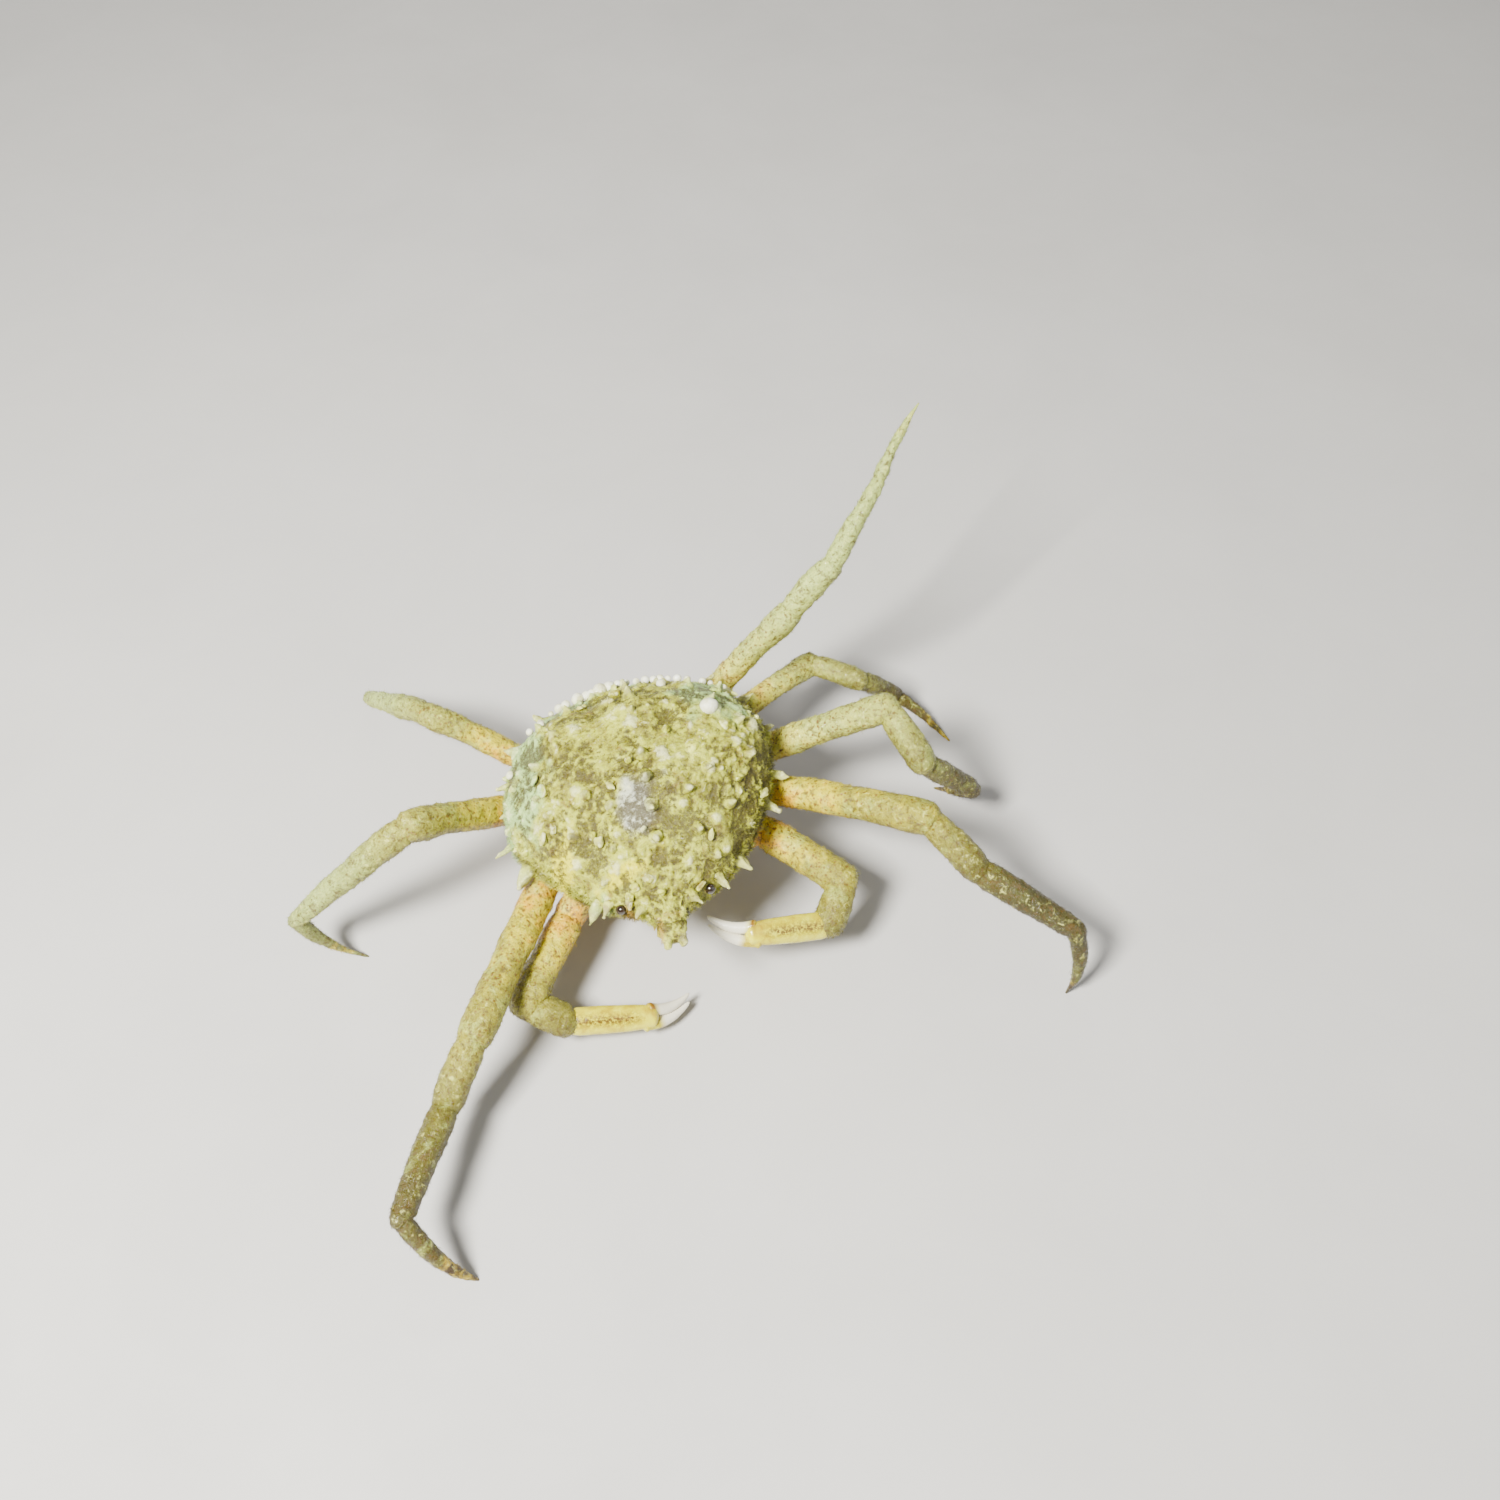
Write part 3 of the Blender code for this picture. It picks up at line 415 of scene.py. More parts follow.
def closed_tube(grid: Array, **values: Array) -> Surface:
    """A tube from a grid of rings, closed round and at both ends.

    Args:
        grid: Stations, points round, 3.
        **values: A value at each grid point, by name.

    Returns:
        The surface, with a pole in the middle of each end ring.
    """
    n, m = grid.shape[:2]
    index = np.arange(n * m).reshape(n, m)
    after = np.roll(index, -1, axis=1)
    quads = np.stack([index[:-1], after[:-1], after[1:], index[1:]], -1).reshape(-1, 4)
    first = np.stack([np.full(m, n * m), after[0], index[0]], -1)
    last = np.stack([np.full(m, n * m + 1), index[-1], after[-1]], -1)
    points = np.concatenate([grid.reshape(-1, 3), grid[[0, -1]].mean(axis=1)])
    kept = {}
    for name, value in values.items():
        value = np.broadcast_to(value, (n, m))
        kept[name] = np.concatenate([value.ravel(), value[[0, -1]].mean(axis=1)])
    return Surface(points, [quads, np.concatenate([first, last])], kept).outward()


def grid_normals(grid: Array) -> Array:
    """Unit normals of a grid of rings: the cross product of its two central differences.

    Args:
        grid: Stations, points round, 3.

    Returns:
        A normal for each point, facing away from the middle of its ring.
    """
    along = np.gradient(grid, axis=0)
    around = np.roll(grid, -1, axis=1) - np.roll(grid, 1, axis=1)
    normals = unit(np.cross(around, along))
    middle = grid.mean(axis=1, keepdims=True)
    sign = np.sign(np.sum(normals * (grid - middle), axis=-1).mean())
    return normals * sign


class NodeBoard:
    """Lays out one procedural material, node by node."""

    def __init__(self, name: str) -> None:
        """Starts a material with its Principled shader.

        Args:
            name: The material's name.
        """
        self.material = bpy.data.materials.new(name)
        self.material.use_nodes = True
        self.tree = self.material.node_tree
        self.shader = self.tree.nodes["Principled BSDF"]
        self.place = self.tree.nodes.new("ShaderNodeTexCoord").outputs["Object"]

    def link(self, source: bpy.types.NodeSocket, target: bpy.types.NodeSocket) -> None:
        """Joins two sockets."""
        self.tree.links.new(source, target)

    def give(self, socket: bpy.types.NodeSocket, value: object) -> None:
        """Links a socket's source, or sets its number or colour.

        Args:
            socket: The input.
            value: A socket, a colour or a number.
        """
        if isinstance(value, bpy.types.NodeSocket):
            self.link(value, socket)
        elif isinstance(value, tuple) and len(value) == 3:
            socket.default_value = (*value, 1.0)
        else:
            socket.default_value = value

    def noise(self, scale: float, detail: float = 4.0, rough: float = 0.6,
              warp: float = 0.0) -> bpy.types.NodeSocket:
        """Noise on Object coordinates.

        Args:
            scale: Features to the metre.
            detail: Layers.
            rough: Weight of the finer layers.
            warp: Distortion.

        Returns:
            The noise value.
        """
        node = self.tree.nodes.new("ShaderNodeTexNoise")
        self.link(self.place, node.inputs["Vector"])
        for name, value in (("Scale", scale), ("Detail", detail), ("Roughness", rough),
                            ("Distortion", warp)):
            node.inputs[name].default_value = value
        return node.outputs["Fac"]

    def cells(self, scale: float) -> bpy.types.NodeSocket:
        """Scattered cells on Object coordinates.

        Args:
            scale: Cells to the metre.

        Returns:
            The distance to the nearest cell's middle.
        """
        node = self.tree.nodes.new("ShaderNodeTexVoronoi")
        self.link(self.place, node.inputs["Vector"])
        node.inputs["Scale"].default_value = scale
        return node.outputs["Distance"]

    def value(self, name: str) -> bpy.types.NodeSocket:
        """A value that the mesh carries at its points.

        Args:
            name: The value's name.

        Returns:
            The value.
        """
        node = self.tree.nodes.new("ShaderNodeAttribute")
        node.attribute_name = name
        return node.outputs["Fac"]

    def ramp(self, fac: bpy.types.NodeSocket, stops: Stops) -> bpy.types.NodeSocket:
        """Colours along a value.

        Args:
            fac: The value.
            stops: Places and colours.

        Returns:
            The colour.
        """
        node = self.tree.nodes.new("ShaderNodeValToRGB")
        self.link(fac, node.inputs["Fac"])
        marks = node.color_ramp.elements
        for k, (at, colour) in enumerate(stops):
            mark = marks[k] if k < 2 else marks.new(at)
            mark.position, mark.color = at, (*colour, 1.0)
        return node.outputs["Color"]

    def steps(self, fac: bpy.types.NodeSocket, low: float, high: float, start: float = 0.0,
              end: float = 1.0) -> bpy.types.NodeSocket:
        """A value stretched from one range to another, smoothly and held at the ends.

        Args:
            fac: The value.
            low: Where the first range starts.
            high: Where it ends.
            start: Where the second range starts.
            end: Where it ends.

        Returns:
            The stretched value.
        """
        node = self.tree.nodes.new("ShaderNodeMapRange")
        node.interpolation_type = "SMOOTHSTEP"
        self.link(fac, node.inputs["Value"])
        for name, value in (("From Min", low), ("From Max", high), ("To Min", start),
                            ("To Max", end)):
            node.inputs[name].default_value = value
        return node.outputs["Result"]

    def math(self, kind: str, first: object, second: object) -> bpy.types.NodeSocket:
        """Sum, product or another operation on two values.

        Args:
            kind: The operation's name.
            first: A socket or number.
            second: A socket or number.

        Returns:
            The result.
        """
        node = self.tree.nodes.new("ShaderNodeMath")
        node.operation = kind
        self.give(node.inputs[0], first)
        self.give(node.inputs[1], second)
        return node.outputs["Value"]

    def mix(self, fac: object, first: object, second: object,
            mode: str = "MIX") -> bpy.types.NodeSocket:
        """Two colours mixed by a share.

        Args:
            fac: Share of the second colour.
            first: A socket or colour.
            second: A socket or colour.
            mode: The blend mode's name.

        Returns:
            The mixed colour.
        """
        node = self.tree.nodes.new("ShaderNodeMix")
        node.data_type, node.blend_type = "RGBA", mode
        self.give(node.inputs["Factor"], fac)
        self.give(node.inputs[6], first)
        self.give(node.inputs[7], second)
        return node.outputs[2]

    def bump(self, height: bpy.types.NodeSocket, depth: float) -> None:
        """Adds relief on top of any relief already there.

        Args:
            height: The relief's height, from 0 to 1.
            depth: Its depth in metres.
        """
        node = self.tree.nodes.new("ShaderNodeBump")
        node.inputs["Distance"].default_value = depth
        self.link(height, node.inputs["Height"])
        normal = self.shader.inputs["Normal"]
        if normal.links:
            self.link(normal.links[0].from_socket, node.inputs["Normal"])
        self.link(node.outputs["Normal"], normal)

    def done(self, colour: object, rough: object, coat: float = 0.0,
             gloss: float = 0.5) -> bpy.types.Material:
        """Sets the shader's colour, roughness, coat and specular level.

        Args:
            colour: Base colour.
            rough: Roughness.
            coat: Weight of the wet coat.
            gloss: Specular level.

        Returns:
            The material.
        """
        self.give(self.shader.inputs["Base Color"], colour)
        self.give(self.shader.inputs["Roughness"], rough)
        if coat and self.shader.inputs["Normal"].links:
            normal = self.shader.inputs["Normal"].links[0].from_socket
            self.link(normal, self.shader.inputs["Coat Normal"])
        self.shader.inputs["Coat Weight"].default_value = coat
        self.shader.inputs["Coat Roughness"].default_value = 0.07
        self.shader.inputs["Specular IOR Level"].default_value = gloss
        return self.material


@dataclass(frozen=True)
class ShellFinish:
    """Crust of khaki, tan and brown with mint and yellow places, a greyish place painted pale as a
    wet reflection, painted shade in the hollows, painted highlights on the crests, and wet glints.
    """

    name: str
    fine: float = 1300.0
    relief: float = 0.0005
    wet: float = 0.16
    crust: Stops = ((0.32, srgb(86, 77, 18)), (0.43, srgb(146, 143, 38)),
                    (0.52, srgb(178, 181, 46)), (0.62, srgb(202, 205, 78)),
                    (0.74, srgb(224, 227, 124)))
    brown: Colour = srgb(124, 92, 34)
    mint: Colour = srgb(172, 208, 128)
    yellow: Colour = srgb(228, 218, 0)
    # A greyish place, painted pale as a wet reflection.
    grey_reflection: Colour = srgb(206, 208, 200)
    rust: Colour = srgb(176, 116, 34)
    # Painted shade: the low places of the crust are mixed towards this dark brown.
    painted_hollow_shade: Colour = srgb(68, 57, 14)
    # Painted highlight: the high places of the crust are mixed towards this pale khaki.
    painted_crest_highlight: Colour = srgb(236, 236, 178)
    pale: Colour = srgb(230, 228, 166)

    def make(self) -> bpy.types.Material:
        """Builds the material.

        Returns:
            A material that reads the values height, green, yellow, grey, rust and pale. Height
            sets the painted shade in the hollows and the painted highlight on the crests, and the
            greyish place is painted pale as a wet reflection.
        """
        board = NodeBoard(self.name)
        blotches = board.noise(240.0, 7.0, 0.72, 0.5)
        grains = board.noise(self.fine, 5.0, 0.72, 0.8)
        colour = board.ramp(blotches, self.crust)
        browned = board.steps(board.noise(310.0, 4.0, 0.6, 0.2), 0.57, 0.69, 0.0, 0.6)
        colour = board.mix(browned, colour, self.brown)
        # Mint, yellow and rust are the shell's own colours; the greyish place is painted pale as a
        # wet reflection.
        for place, tone in (("green", self.mint), ("yellow", self.yellow),
                            ("grey_reflection", self.grey_reflection), ("rust", self.rust)):
            colour = board.mix(board.value(place), colour, tone)
        level = board.math("ADD", board.math("MULTIPLY", board.value("height"), 0.55),
                           board.math("MULTIPLY", grains, 0.9))
        # Painted shade: where the relief and the grains are low, the colour goes to the dark
        # brown.
        colour = board.mix(board.steps(level, 0.43, 0.69, 0.9, 0.0), colour, self.painted_hollow_shade)
        # Painted highlight: where the relief and the grains are high, the colour goes to the pale
        # khaki.
        colour = board.mix(board.steps(level, 0.80, 1.05, 0.0, 0.65), colour, self.painted_crest_highlight)
        colour = board.mix(board.value("pale"), colour, self.pale)
        sheen = board.steps(board.noise(1700.0, 3.0, 0.6), 0.44, 0.60, 0.55, self.wet)
        board.bump(board.noise(4200.0, 3.0, 0.6), self.relief * 0.25)
        board.bump(grains, self.relief)
        return board.done(colour, sheen, coat=0.35, gloss=0.4)


@dataclass(frozen=True)
class LegFinish:
    """Legs that go from orange yellow at the body to olive brown, speckled and mottled, with pale
    flecks painted as wet glints and painted shade on their undersides.
    """

    name: str
    speckled: float = 1.0
    relief: float = 0.0003
    along: Stops = ((0.08, srgb(192, 128, 4)), (0.20, srgb(222, 170, 0)),
                    (0.26, srgb(212, 194, 4)), (0.34, srgb(156, 149, 30)),
                    (0.50, srgb(134, 129, 36)), (0.64, srgb(100, 96, 16)),
                    (0.80, srgb(74, 67, 6)), (0.93, srgb(74, 64, 6)),
                    (0.965, srgb(190, 162, 4)), (0.99, srgb(52, 32, 8)))
    patch: Colour = srgb(172, 184, 84)
    mint: Colour = srgb(196, 212, 116)
    dusk: Colour = srgb(46, 43, 2)
    dark: Colour = srgb(84, 62, 6)
    # Painted highlight: pale flecks that stand for wet glints.
    light: Colour = srgb(230, 226, 124)
    dot: Colour = srgb(104, 48, 2)
    # Painted shade: the skin that faces down is multiplied by this darker yellow.
    shade: Colour = srgb(226, 204, 96)

    def make(self) -> bpy.types.Material:
        """Builds the material.

        Returns:
            A material that reads the values reach, mint, dusk and under; under is painted shade on
            the skin that faces down.
        """
        board = NodeBoard(self.name)
        drift = board.math("MULTIPLY", board.math("SUBTRACT", board.noise(170.0, 5.0), 0.5), 0.40)
        colour = board.ramp(board.math("ADD", board.value("reach"), drift), self.along)
        patches = board.noise(190.0, 3.0, 0.5, 0.8)
        colour = board.mix(board.steps(patches, 0.56, 0.66, 0.0, 0.45), colour, self.patch)
        colour = board.mix(board.value("mint"), colour, self.mint)
        colour = board.mix(board.value("dusk"), colour, self.dusk)
        mottle = board.noise(700.0, 6.0, 0.75, 0.6)
        colour = board.mix(board.steps(mottle, 0.37, 0.51, 0.85, 0.0), colour, self.dark)
        # Painted highlight: pale flecks on the mottle, standing for wet glints.
        colour = board.mix(board.steps(mottle, 0.55, 0.67, 0.0, 0.65), colour, self.light)
        near = board.steps(board.value("reach"), 0.30, 0.55, 1.0, 0.2)
        dots = board.steps(board.cells(850.0), 0.14, 0.36, 0.8 * self.speckled, 0.0)
        colour = board.mix(board.math("MULTIPLY", dots, near), colour, self.dot)
        # Painted shade on the underside of the leg and of its bristles.
        colour = board.mix(board.value("under"), colour, self.shade, "MULTIPLY")
        grains = board.noise(1900.0, 4.0, 0.7)
        board.bump(grains, self.relief)
        board.bump(mottle, self.relief * 1.2)
        wet = board.steps(board.noise(1100.0, 3.0), 0.44, 0.62, 0.55, 0.2)
        return board.done(colour, wet, coat=0.3, gloss=0.4)


@dataclass(frozen=True)
class ClawFinish:
    """Smooth yellow palms with brown speckles in the middle, and white fingers."""

    name: str = "smooth_claw"
    palm: Stops = ((0.30, srgb(166, 140, 0)), (0.50, srgb(206, 194, 4)),
                   (0.70, srgb(220, 216, 52)))
    speckle: Colour = srgb(88, 62, 12)
    rust: Colour = srgb(112, 66, 14)
    ivory: Colour = srgb(218, 211, 188)

    def make(self) -> bpy.types.Material:
        """Builds the material.

        Returns:
            A material that reads the values band, white and rust.
        """
        board = NodeBoard(self.name)
        cloudy = board.noise(320.0, 5.0, 0.6, 0.4)
        colour = board.ramp(cloudy, self.palm)
        speckles = board.steps(board.noise(1500.0, 5.0, 0.75), 0.44, 0.60, 1.0, 0.15)
        colour = board.mix(board.math("MULTIPLY", board.value("band"), speckles), colour,
                           self.speckle)
        colour = board.mix(board.value("rust"), colour, self.rust)
        colour = board.mix(board.value("white"), colour, self.ivory)
        board.bump(board.noise(1600.0, 3.0), 0.00006)
        return board.done(colour, board.steps(cloudy, 0.35, 0.65, 0.36, 0.2), coat=0.35)


@dataclass(frozen=True)
class PlainFinish:
    """A finish of two or three close tones with fine relief."""

    name: str
    tones: tuple[Colour, ...]
    scale: float
    rough: float
    depth: float = 0.0001
    coat: float = 0.0
    stain: Colour | None = None

    def make(self) -> bpy.types.Material:
        """Builds the material from its tones, spread evenly over the noise, and its stains.

        Returns:
            The material.
        """
        board = NodeBoard(self.name)
        fog = board.noise(self.scale, 5.0, 0.6, 0.3)
        span = len(self.tones) - 1
        stops = tuple((0.32 + 0.36 * k / span, tone) for k, tone in enumerate(self.tones))
        colour = board.ramp(fog, stops)
        if self.stain:
            blots = board.noise(self.scale * 1.7, 6.0, 0.7, 0.5)
            colour = board.mix(board.steps(blots, 0.50, 0.64, 0.0, 0.75), colour, self.stain)
        board.bump(board.noise(self.scale * 5, 3.0), self.depth)
        rough = board.steps(fog, 0.3, 0.7, self.rough * 1.15, self.rough * 0.85)
        return board.done(colour, rough, self.coat)


SHELL_FINISH = ShellFinish("crusted_shell")
SHELL_HAIR_FINISH = ShellFinish("shell_hair", 700.0, 0.00004, 0.35)
LEG_FINISH = LegFinish("fuzzy_leg")
LEG_HAIR_FINISH = LegFinish("leg_hair", 0.0, 0.00004)
CLAW_FINISH = ClawFinish()
BELLY_FINISH = PlainFinish(
    "belly_plates", (srgb(166, 144, 40), srgb(202, 186, 78), srgb(222, 212, 124)), 260.0, 0.42,
    0.0003, 0.1, srgb(128, 98, 34))
SKIN_FINISH = PlainFinish(
    "joint_skin", (srgb(120, 84, 14), srgb(172, 136, 30)), 700.0, 0.4, 0.0001, 0.1)
BELLY_HAIR_FINISH = PlainFinish(
    "belly_hair", (srgb(140, 116, 44), srgb(186, 166, 84)), 260.0, 0.6, 0.00004)
STALK_FINISH = PlainFinish("eye_stalk", (srgb(120, 98, 42), srgb(176, 154, 78)), 900.0, 0.45)
EYE_FINISH = PlainFinish("eye", (srgb(20, 14, 8), srgb(46, 32, 18)), 1500.0, 0.08, 0.00001, 1.0)
LUMP_FINISH = ShellFinish("shell_lumps", 1000.0, 0.0003)
BEAD_FINISH = PlainFinish(
    "white_beads", (srgb(190, 186, 130), srgb(226, 224, 190), srgb(238, 238, 222)), 420.0, 0.35,
    0.0002, 0.2)
FLOOR_FINISH = PlainFinish("pale_floor", (srgb(180, 177, 172), srgb(187, 184, 179)), 14.0, 0.7)
Finish = ShellFinish | LegFinish | ClawFinish | PlainFinish
MADE: dict[str, bpy.types.Material] = {}


def finish_of(finish: Finish) -> bpy.types.Material:
    """The material of a finish, built once.

    Args:
        finish: The finish.

    Returns:
        Its material.
    """
    if finish.name not in MADE:
        MADE[finish.name] = finish.make()
    return MADE[finish.name]


def leaned(points: Array) -> Array:
    """Body points tipped to the right: the level rises with the distance to the left.

    Args:
        points: Places, any shape with 3 last.

    Returns:
        The places, moved up or down.
    """
    moved = points.copy()
    moved[..., 2] += LEAN * moved[..., 0]
    return moved


def add_piece(name: str, surface: Surface, finish: Finish,
              nodes: tuple[str, ...] = (), bake: Array | None = None) -> bpy.types.Object:
    """Puts a surface in the scene as a piece of the crab.

    Args:
        name: The piece's name.
        surface: Its shape and values, in the crab's frame.
        finish: What it is dressed in.
        nodes: Nodes that it stands for.
        bake: Place of each point on the skin's unwrap, for a coat.

    Returns:
        The object.
    """
    mesh = bpy.data.meshes.new(name)
    corners = np.concatenate([f.ravel() for f in surface.faces]).astype(np.int32)
    counts = np.concatenate([np.full(len(f), f.shape[1]) for f in surface.faces])
    starts = np.concatenate([[0], np.cumsum(counts)[:-1]]).astype(np.int32)
    mesh.vertices.add(len(surface.points))
    mesh.vertices.foreach_set("co", ((surface.points + PLACE) * MM).astype(np.float32).ravel())
    mesh.loops.add(len(corners))
    mesh.loops.foreach_set("vertex_index", corners)
    mesh.polygons.add(len(counts))
    mesh.polygons.foreach_set("loop_start", starts)
    mesh.polygons.foreach_set("use_smooth", np.ones(len(counts), dtype=bool))
    mesh.update(calc_edges=True)
    for key, value in surface.values.items():
        store = mesh.attributes.new(key, "FLOAT", "POINT")
        store.data.foreach_set("value", value.astype(np.float32))
    if bake is not None:
        chart = mesh.uv_layers.new(name="OFBake")
        chart.uv.foreach_set("vector", bake[corners].astype(np.float32).ravel())
    mesh.materials.append(finish_of(finish))
    piece = bpy.data.objects.new(name, mesh)
    bpy.context.scene.collection.objects.link(piece)
    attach(piece, BODY)
    if nodes:
        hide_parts(*nodes)
    LOG.info("%s: %d triangles", name, int(np.sum(counts - 2)))
    return piece


def tuft_coat(roots: Array, normals: Array, lie: Array, length: Array, width: Array,
              lift: Array, chart: Array, values: dict[str, Array]) -> tuple[Surface, Array]:
    """Short hair tufts: three-sided spikes that bend over towards the lie of the coat.

    A tuft starts a little under the skin, leaves it at the lift angle, and its tip falls
    back to half of that angle.

    Args:
        roots: Where tufts stand.
        normals: Skin normals there.
        lie: Directions along the skin.
        length: Lengths.
        width: Radii at the root.
        lift: Angles off the skin, in radians.
        chart: Root places on the skin's unwrap.
        values: Skin values at the roots.

    Returns:
        The surface and the unwrap place of each of its points.
    """
    count = len(roots)
    lie = beside(lie, normals)
    side = np.cross(normals, lie)
    rise = lift[:, None]
    low = lie * np.cos(rise) + normals * np.sin(rise)
    high = lie * np.cos(rise * 0.5) + normals * np.sin(rise * 0.5)
    top = np.cross(low, side)
    turns = turns_of(TUFT_SIDES) + 0.5
    arms = ring_arms(side, top, turns)
    wide = width[:, None, None]
    base = (roots - 0.6 * width[:, None] * normals)[:, None] + arms * wide
    middle = roots + low * (0.5 * length)[:, None]
    tip = middle + high * (0.5 * length)[:, None]
    points = np.concatenate([base, middle[:, None] + arms * wide * 0.62, tip[:, None]], axis=1)
    start = np.arange(count)[:, None] * (2 * TUFT_SIDES + 1)
    quads, tris = [], [start + np.array([2, 1, 0])]
    for j in range(TUFT_SIDES):
        k = (j + 1) % TUFT_SIDES
        quads.append(start + np.array([j, k, k + TUFT_SIDES, j + TUFT_SIDES]))
        tris.append(start + np.array([j + TUFT_SIDES, k + TUFT_SIDES, 2 * TUFT_SIDES]))
    ring = 0.25 * np.stack([np.cos(turns), np.sin(turns)], -1)
    pattern = np.concatenate([ring, ring * 0.6 + [0, 0.3], [[0.0, 0.7]]]) * TUFT_PATCH
    bake = (chart[:, None] + pattern[None]).reshape(-1, 2)
    spread = {k: np.repeat(v, points.shape[1]) for k, v in values.items()}
    surface = Surface(points.reshape(-1, 3), [np.concatenate(quads), np.concatenate(tris)], spread)
    return surface.outward(), bake


def scattered(grid: Array, count: int, seed: int, weight: Array | None = None) -> Array:
    """Picks grid points with a chance in proportion to the area round them.

    Args:
        grid: Stations, points round, 3.
        count: How many to pick.
        seed: Picks them.
        weight: Extra chance at each grid point.

    Returns:
        Station and point numbers, count by 2.
    """
    along = np.linalg.norm(np.gradient(grid, axis=0), axis=-1)
    around = np.linalg.norm(np.roll(grid, -1, axis=1) - grid, axis=-1)
    chance = along * around * (1.0 if weight is None else weight)
    dice = np.random.default_rng(seed)
    picked = dice.choice(chance.size, size=count, p=chance.ravel() / chance.sum())
    return np.stack(np.unravel_index(picked, chance.shape), -1)


@dataclass
class Shell:
    """The carapace: a crusted dome with its spines, lumps, rostrum horns and short hair."""

    stations: int = 288
    ring: int = 320
    top_share: float = 0.74
    cap_rows: int = 6
    front_cap: float = 0.9
    rear_cap: float = 1.0
    knobs: int = 46
    rim_beads: int = 22
    debris: int = 44
    hairs: int = 15000

    def half_width(self, y: Array, side: Array) -> Array:
        """Half the width at a row; the right side is fuller by a bell curve along Y."""
        extra = CRUST_SHARE * np.exp(-(((y - CRUST_Y) / CRUST_SPREAD) ** 2))
        return smooth_rows(SHELL_ROWS, y)[:, 1] * np.where(side > 0, 1.0, 1.0 + extra)

    def dome(self, y: Array, angle: Array) -> Array:
        """Points of the dome, an ellipse across each row with swellings added on top.

        Args:
            y: Rows.
            angle: 0 at the left rim to pi at the right, below the rim past pi.

        Returns:
            Points, in the shape of y.
        """
        flat_y, flat_a = np.ravel(y), np.ravel(angle)
        _, _, top, level, under = smooth_rows(SHELL_ROWS, flat_y).T
        cos, sin = np.cos(flat_a), np.sin(flat_a)
        x = np.sign(cos) * self.half_width(flat_y, cos) * np.abs(cos) ** 0.92
        rise = np.maximum(sin, 0.0) ** 0.95
        swell = np.zeros_like(x)
        for cx, cy, height, wide, deep in REGIONS:
            for side in (1.0, -1.0) if cx else (1.0,):
                swell += height * np.exp(-(((x - side * cx) / wide) ** 2)
                                         - ((flat_y - cy) / deep) ** 2)
        above = level + (top - level) * rise + swell * np.minimum(1.0, 1.6 * rise)
        below = level + (under - level) * np.abs(sin) ** 0.4
        x = np.where(sin < 0, x * (1 - 0.13 * sin**2), x)
        z = np.where(sin < 0, below, above)
        return np.stack([x, flat_y, z], -1).reshape(*np.shape(y), 3)

    def over(self, x: float, y: float) -> tuple[Array, Array]:
        """The dome's point above a place of the plan.

        Args:
            x: Distance to the left of the middle.
            y: Row.

        Returns:
            The point and the outward direction there.
        """
        half = float(self.half_width(np.array([y]), np.array([x]))[0])
        angle = math.acos(min(0.985, abs(x) / half) ** (1 / 0.92))
        return self.at(y, angle if x >= 0 else math.pi - angle)

    def at(self, y: float, angle: float) -> tuple[Array, Array]:
        """The dome's point at a row and angle.

        Args:
            y: Row.
            angle: 0 at the left rim to pi at the right.

        Returns:
            The point and the outward direction there.
        """
        ys = np.array([y, y - 0.4, y + 0.4, y, y])
        turns = np.clip(np.array([angle, angle, angle, angle + 0.02, angle - 0.02]), 0, math.pi)
        p = self.dome(ys, turns)
        out = unit(np.cross(p[1] - p[2], p[3] - p[4]))
        inner = np.array([0.0, y * 0.6, 30.0])
        return p[0], out if np.dot(out, p[0] - inner) > 0 else -out

    def marks(self, points: Array) -> dict[str, Array]:
        """Coloured places of the shell, each a soft spot with a ragged, noisy edge.

        Args:
            points: Places in the crab's frame, before it leans.

        Returns:
            The values green, yellow, grey and rust, from 0 to 1; the greyish place is painted pale
            as a wet reflection.
        """
        ragged = 0.35 * cloud(points, 4.5, 61, 3)
        marks = {}
        for colour, (top, spots) in MARKS.items():
            mask = sum(weight * spot(points, *place) for weight, *place in spots)
            marks[colour] = top * np.clip((mask + ragged - 0.42) / 0.35, 0.0, 1.0)
        return marks

    def rows(self) -> tuple[Array, Array, Array]:
        """The rows along Y, closed at both ends by rings that move out and shrink.

        Returns:
            Each row's place, how far it moves and how much of its size it keeps.
        """
        caps = self.cap_rows
        ends = np.sin(np.linspace(0.15, 0.98, caps) * np.pi / 2)
        front, rear = SHELL_ROWS[0, 0], SHELL_ROWS[-1, 0]
        between = self.stations - 2 * caps
        y = np.concatenate([np.full(caps, front), np.linspace(front, rear, between),
                            np.full(caps, rear)])
        shift = np.concatenate([-self.front_cap * ends[::-1], np.zeros(between),
                                self.rear_cap * ends])
        reach = np.where(shift < 0, self.front_cap, self.rear_cap)
        return y, shift, np.sqrt(1 - (shift / reach) ** 2)

    def crust(self, grid: Array) -> tuple[Array, Array, Array]:
        """Relief of the crust: wide swells, and pebbles and sharp folds that come in patches.

        Args:
            grid: Places on the dome.

        Returns:
            The whole relief, its fine part and its small pebbles.
        """
        coarse = pebbles(grid, 3.4, 21, 0.5)
        small = pebbles(grid, 1.5, 31, 0.6)
        folds = 1 - np.abs(soft_noise(grid + 1.2 * cloud(grid, 3.0, 51, 2)[..., None], 2.2, 52))
        fine = 0.55 * small + 0.6 * folds**3 + 0.22 * cloud(grid, 0.9, 41, 2)
        patchy = np.clip(0.75 + 0.8 * soft_noise(grid, 7.0, 53), 0.3, 1.2)
        relief = 0.55 * cloud(grid, 8.0, 11, 3) + 0.7 * coarse * patchy + 0.75 * fine * patchy
        return relief - 0.5, fine, small

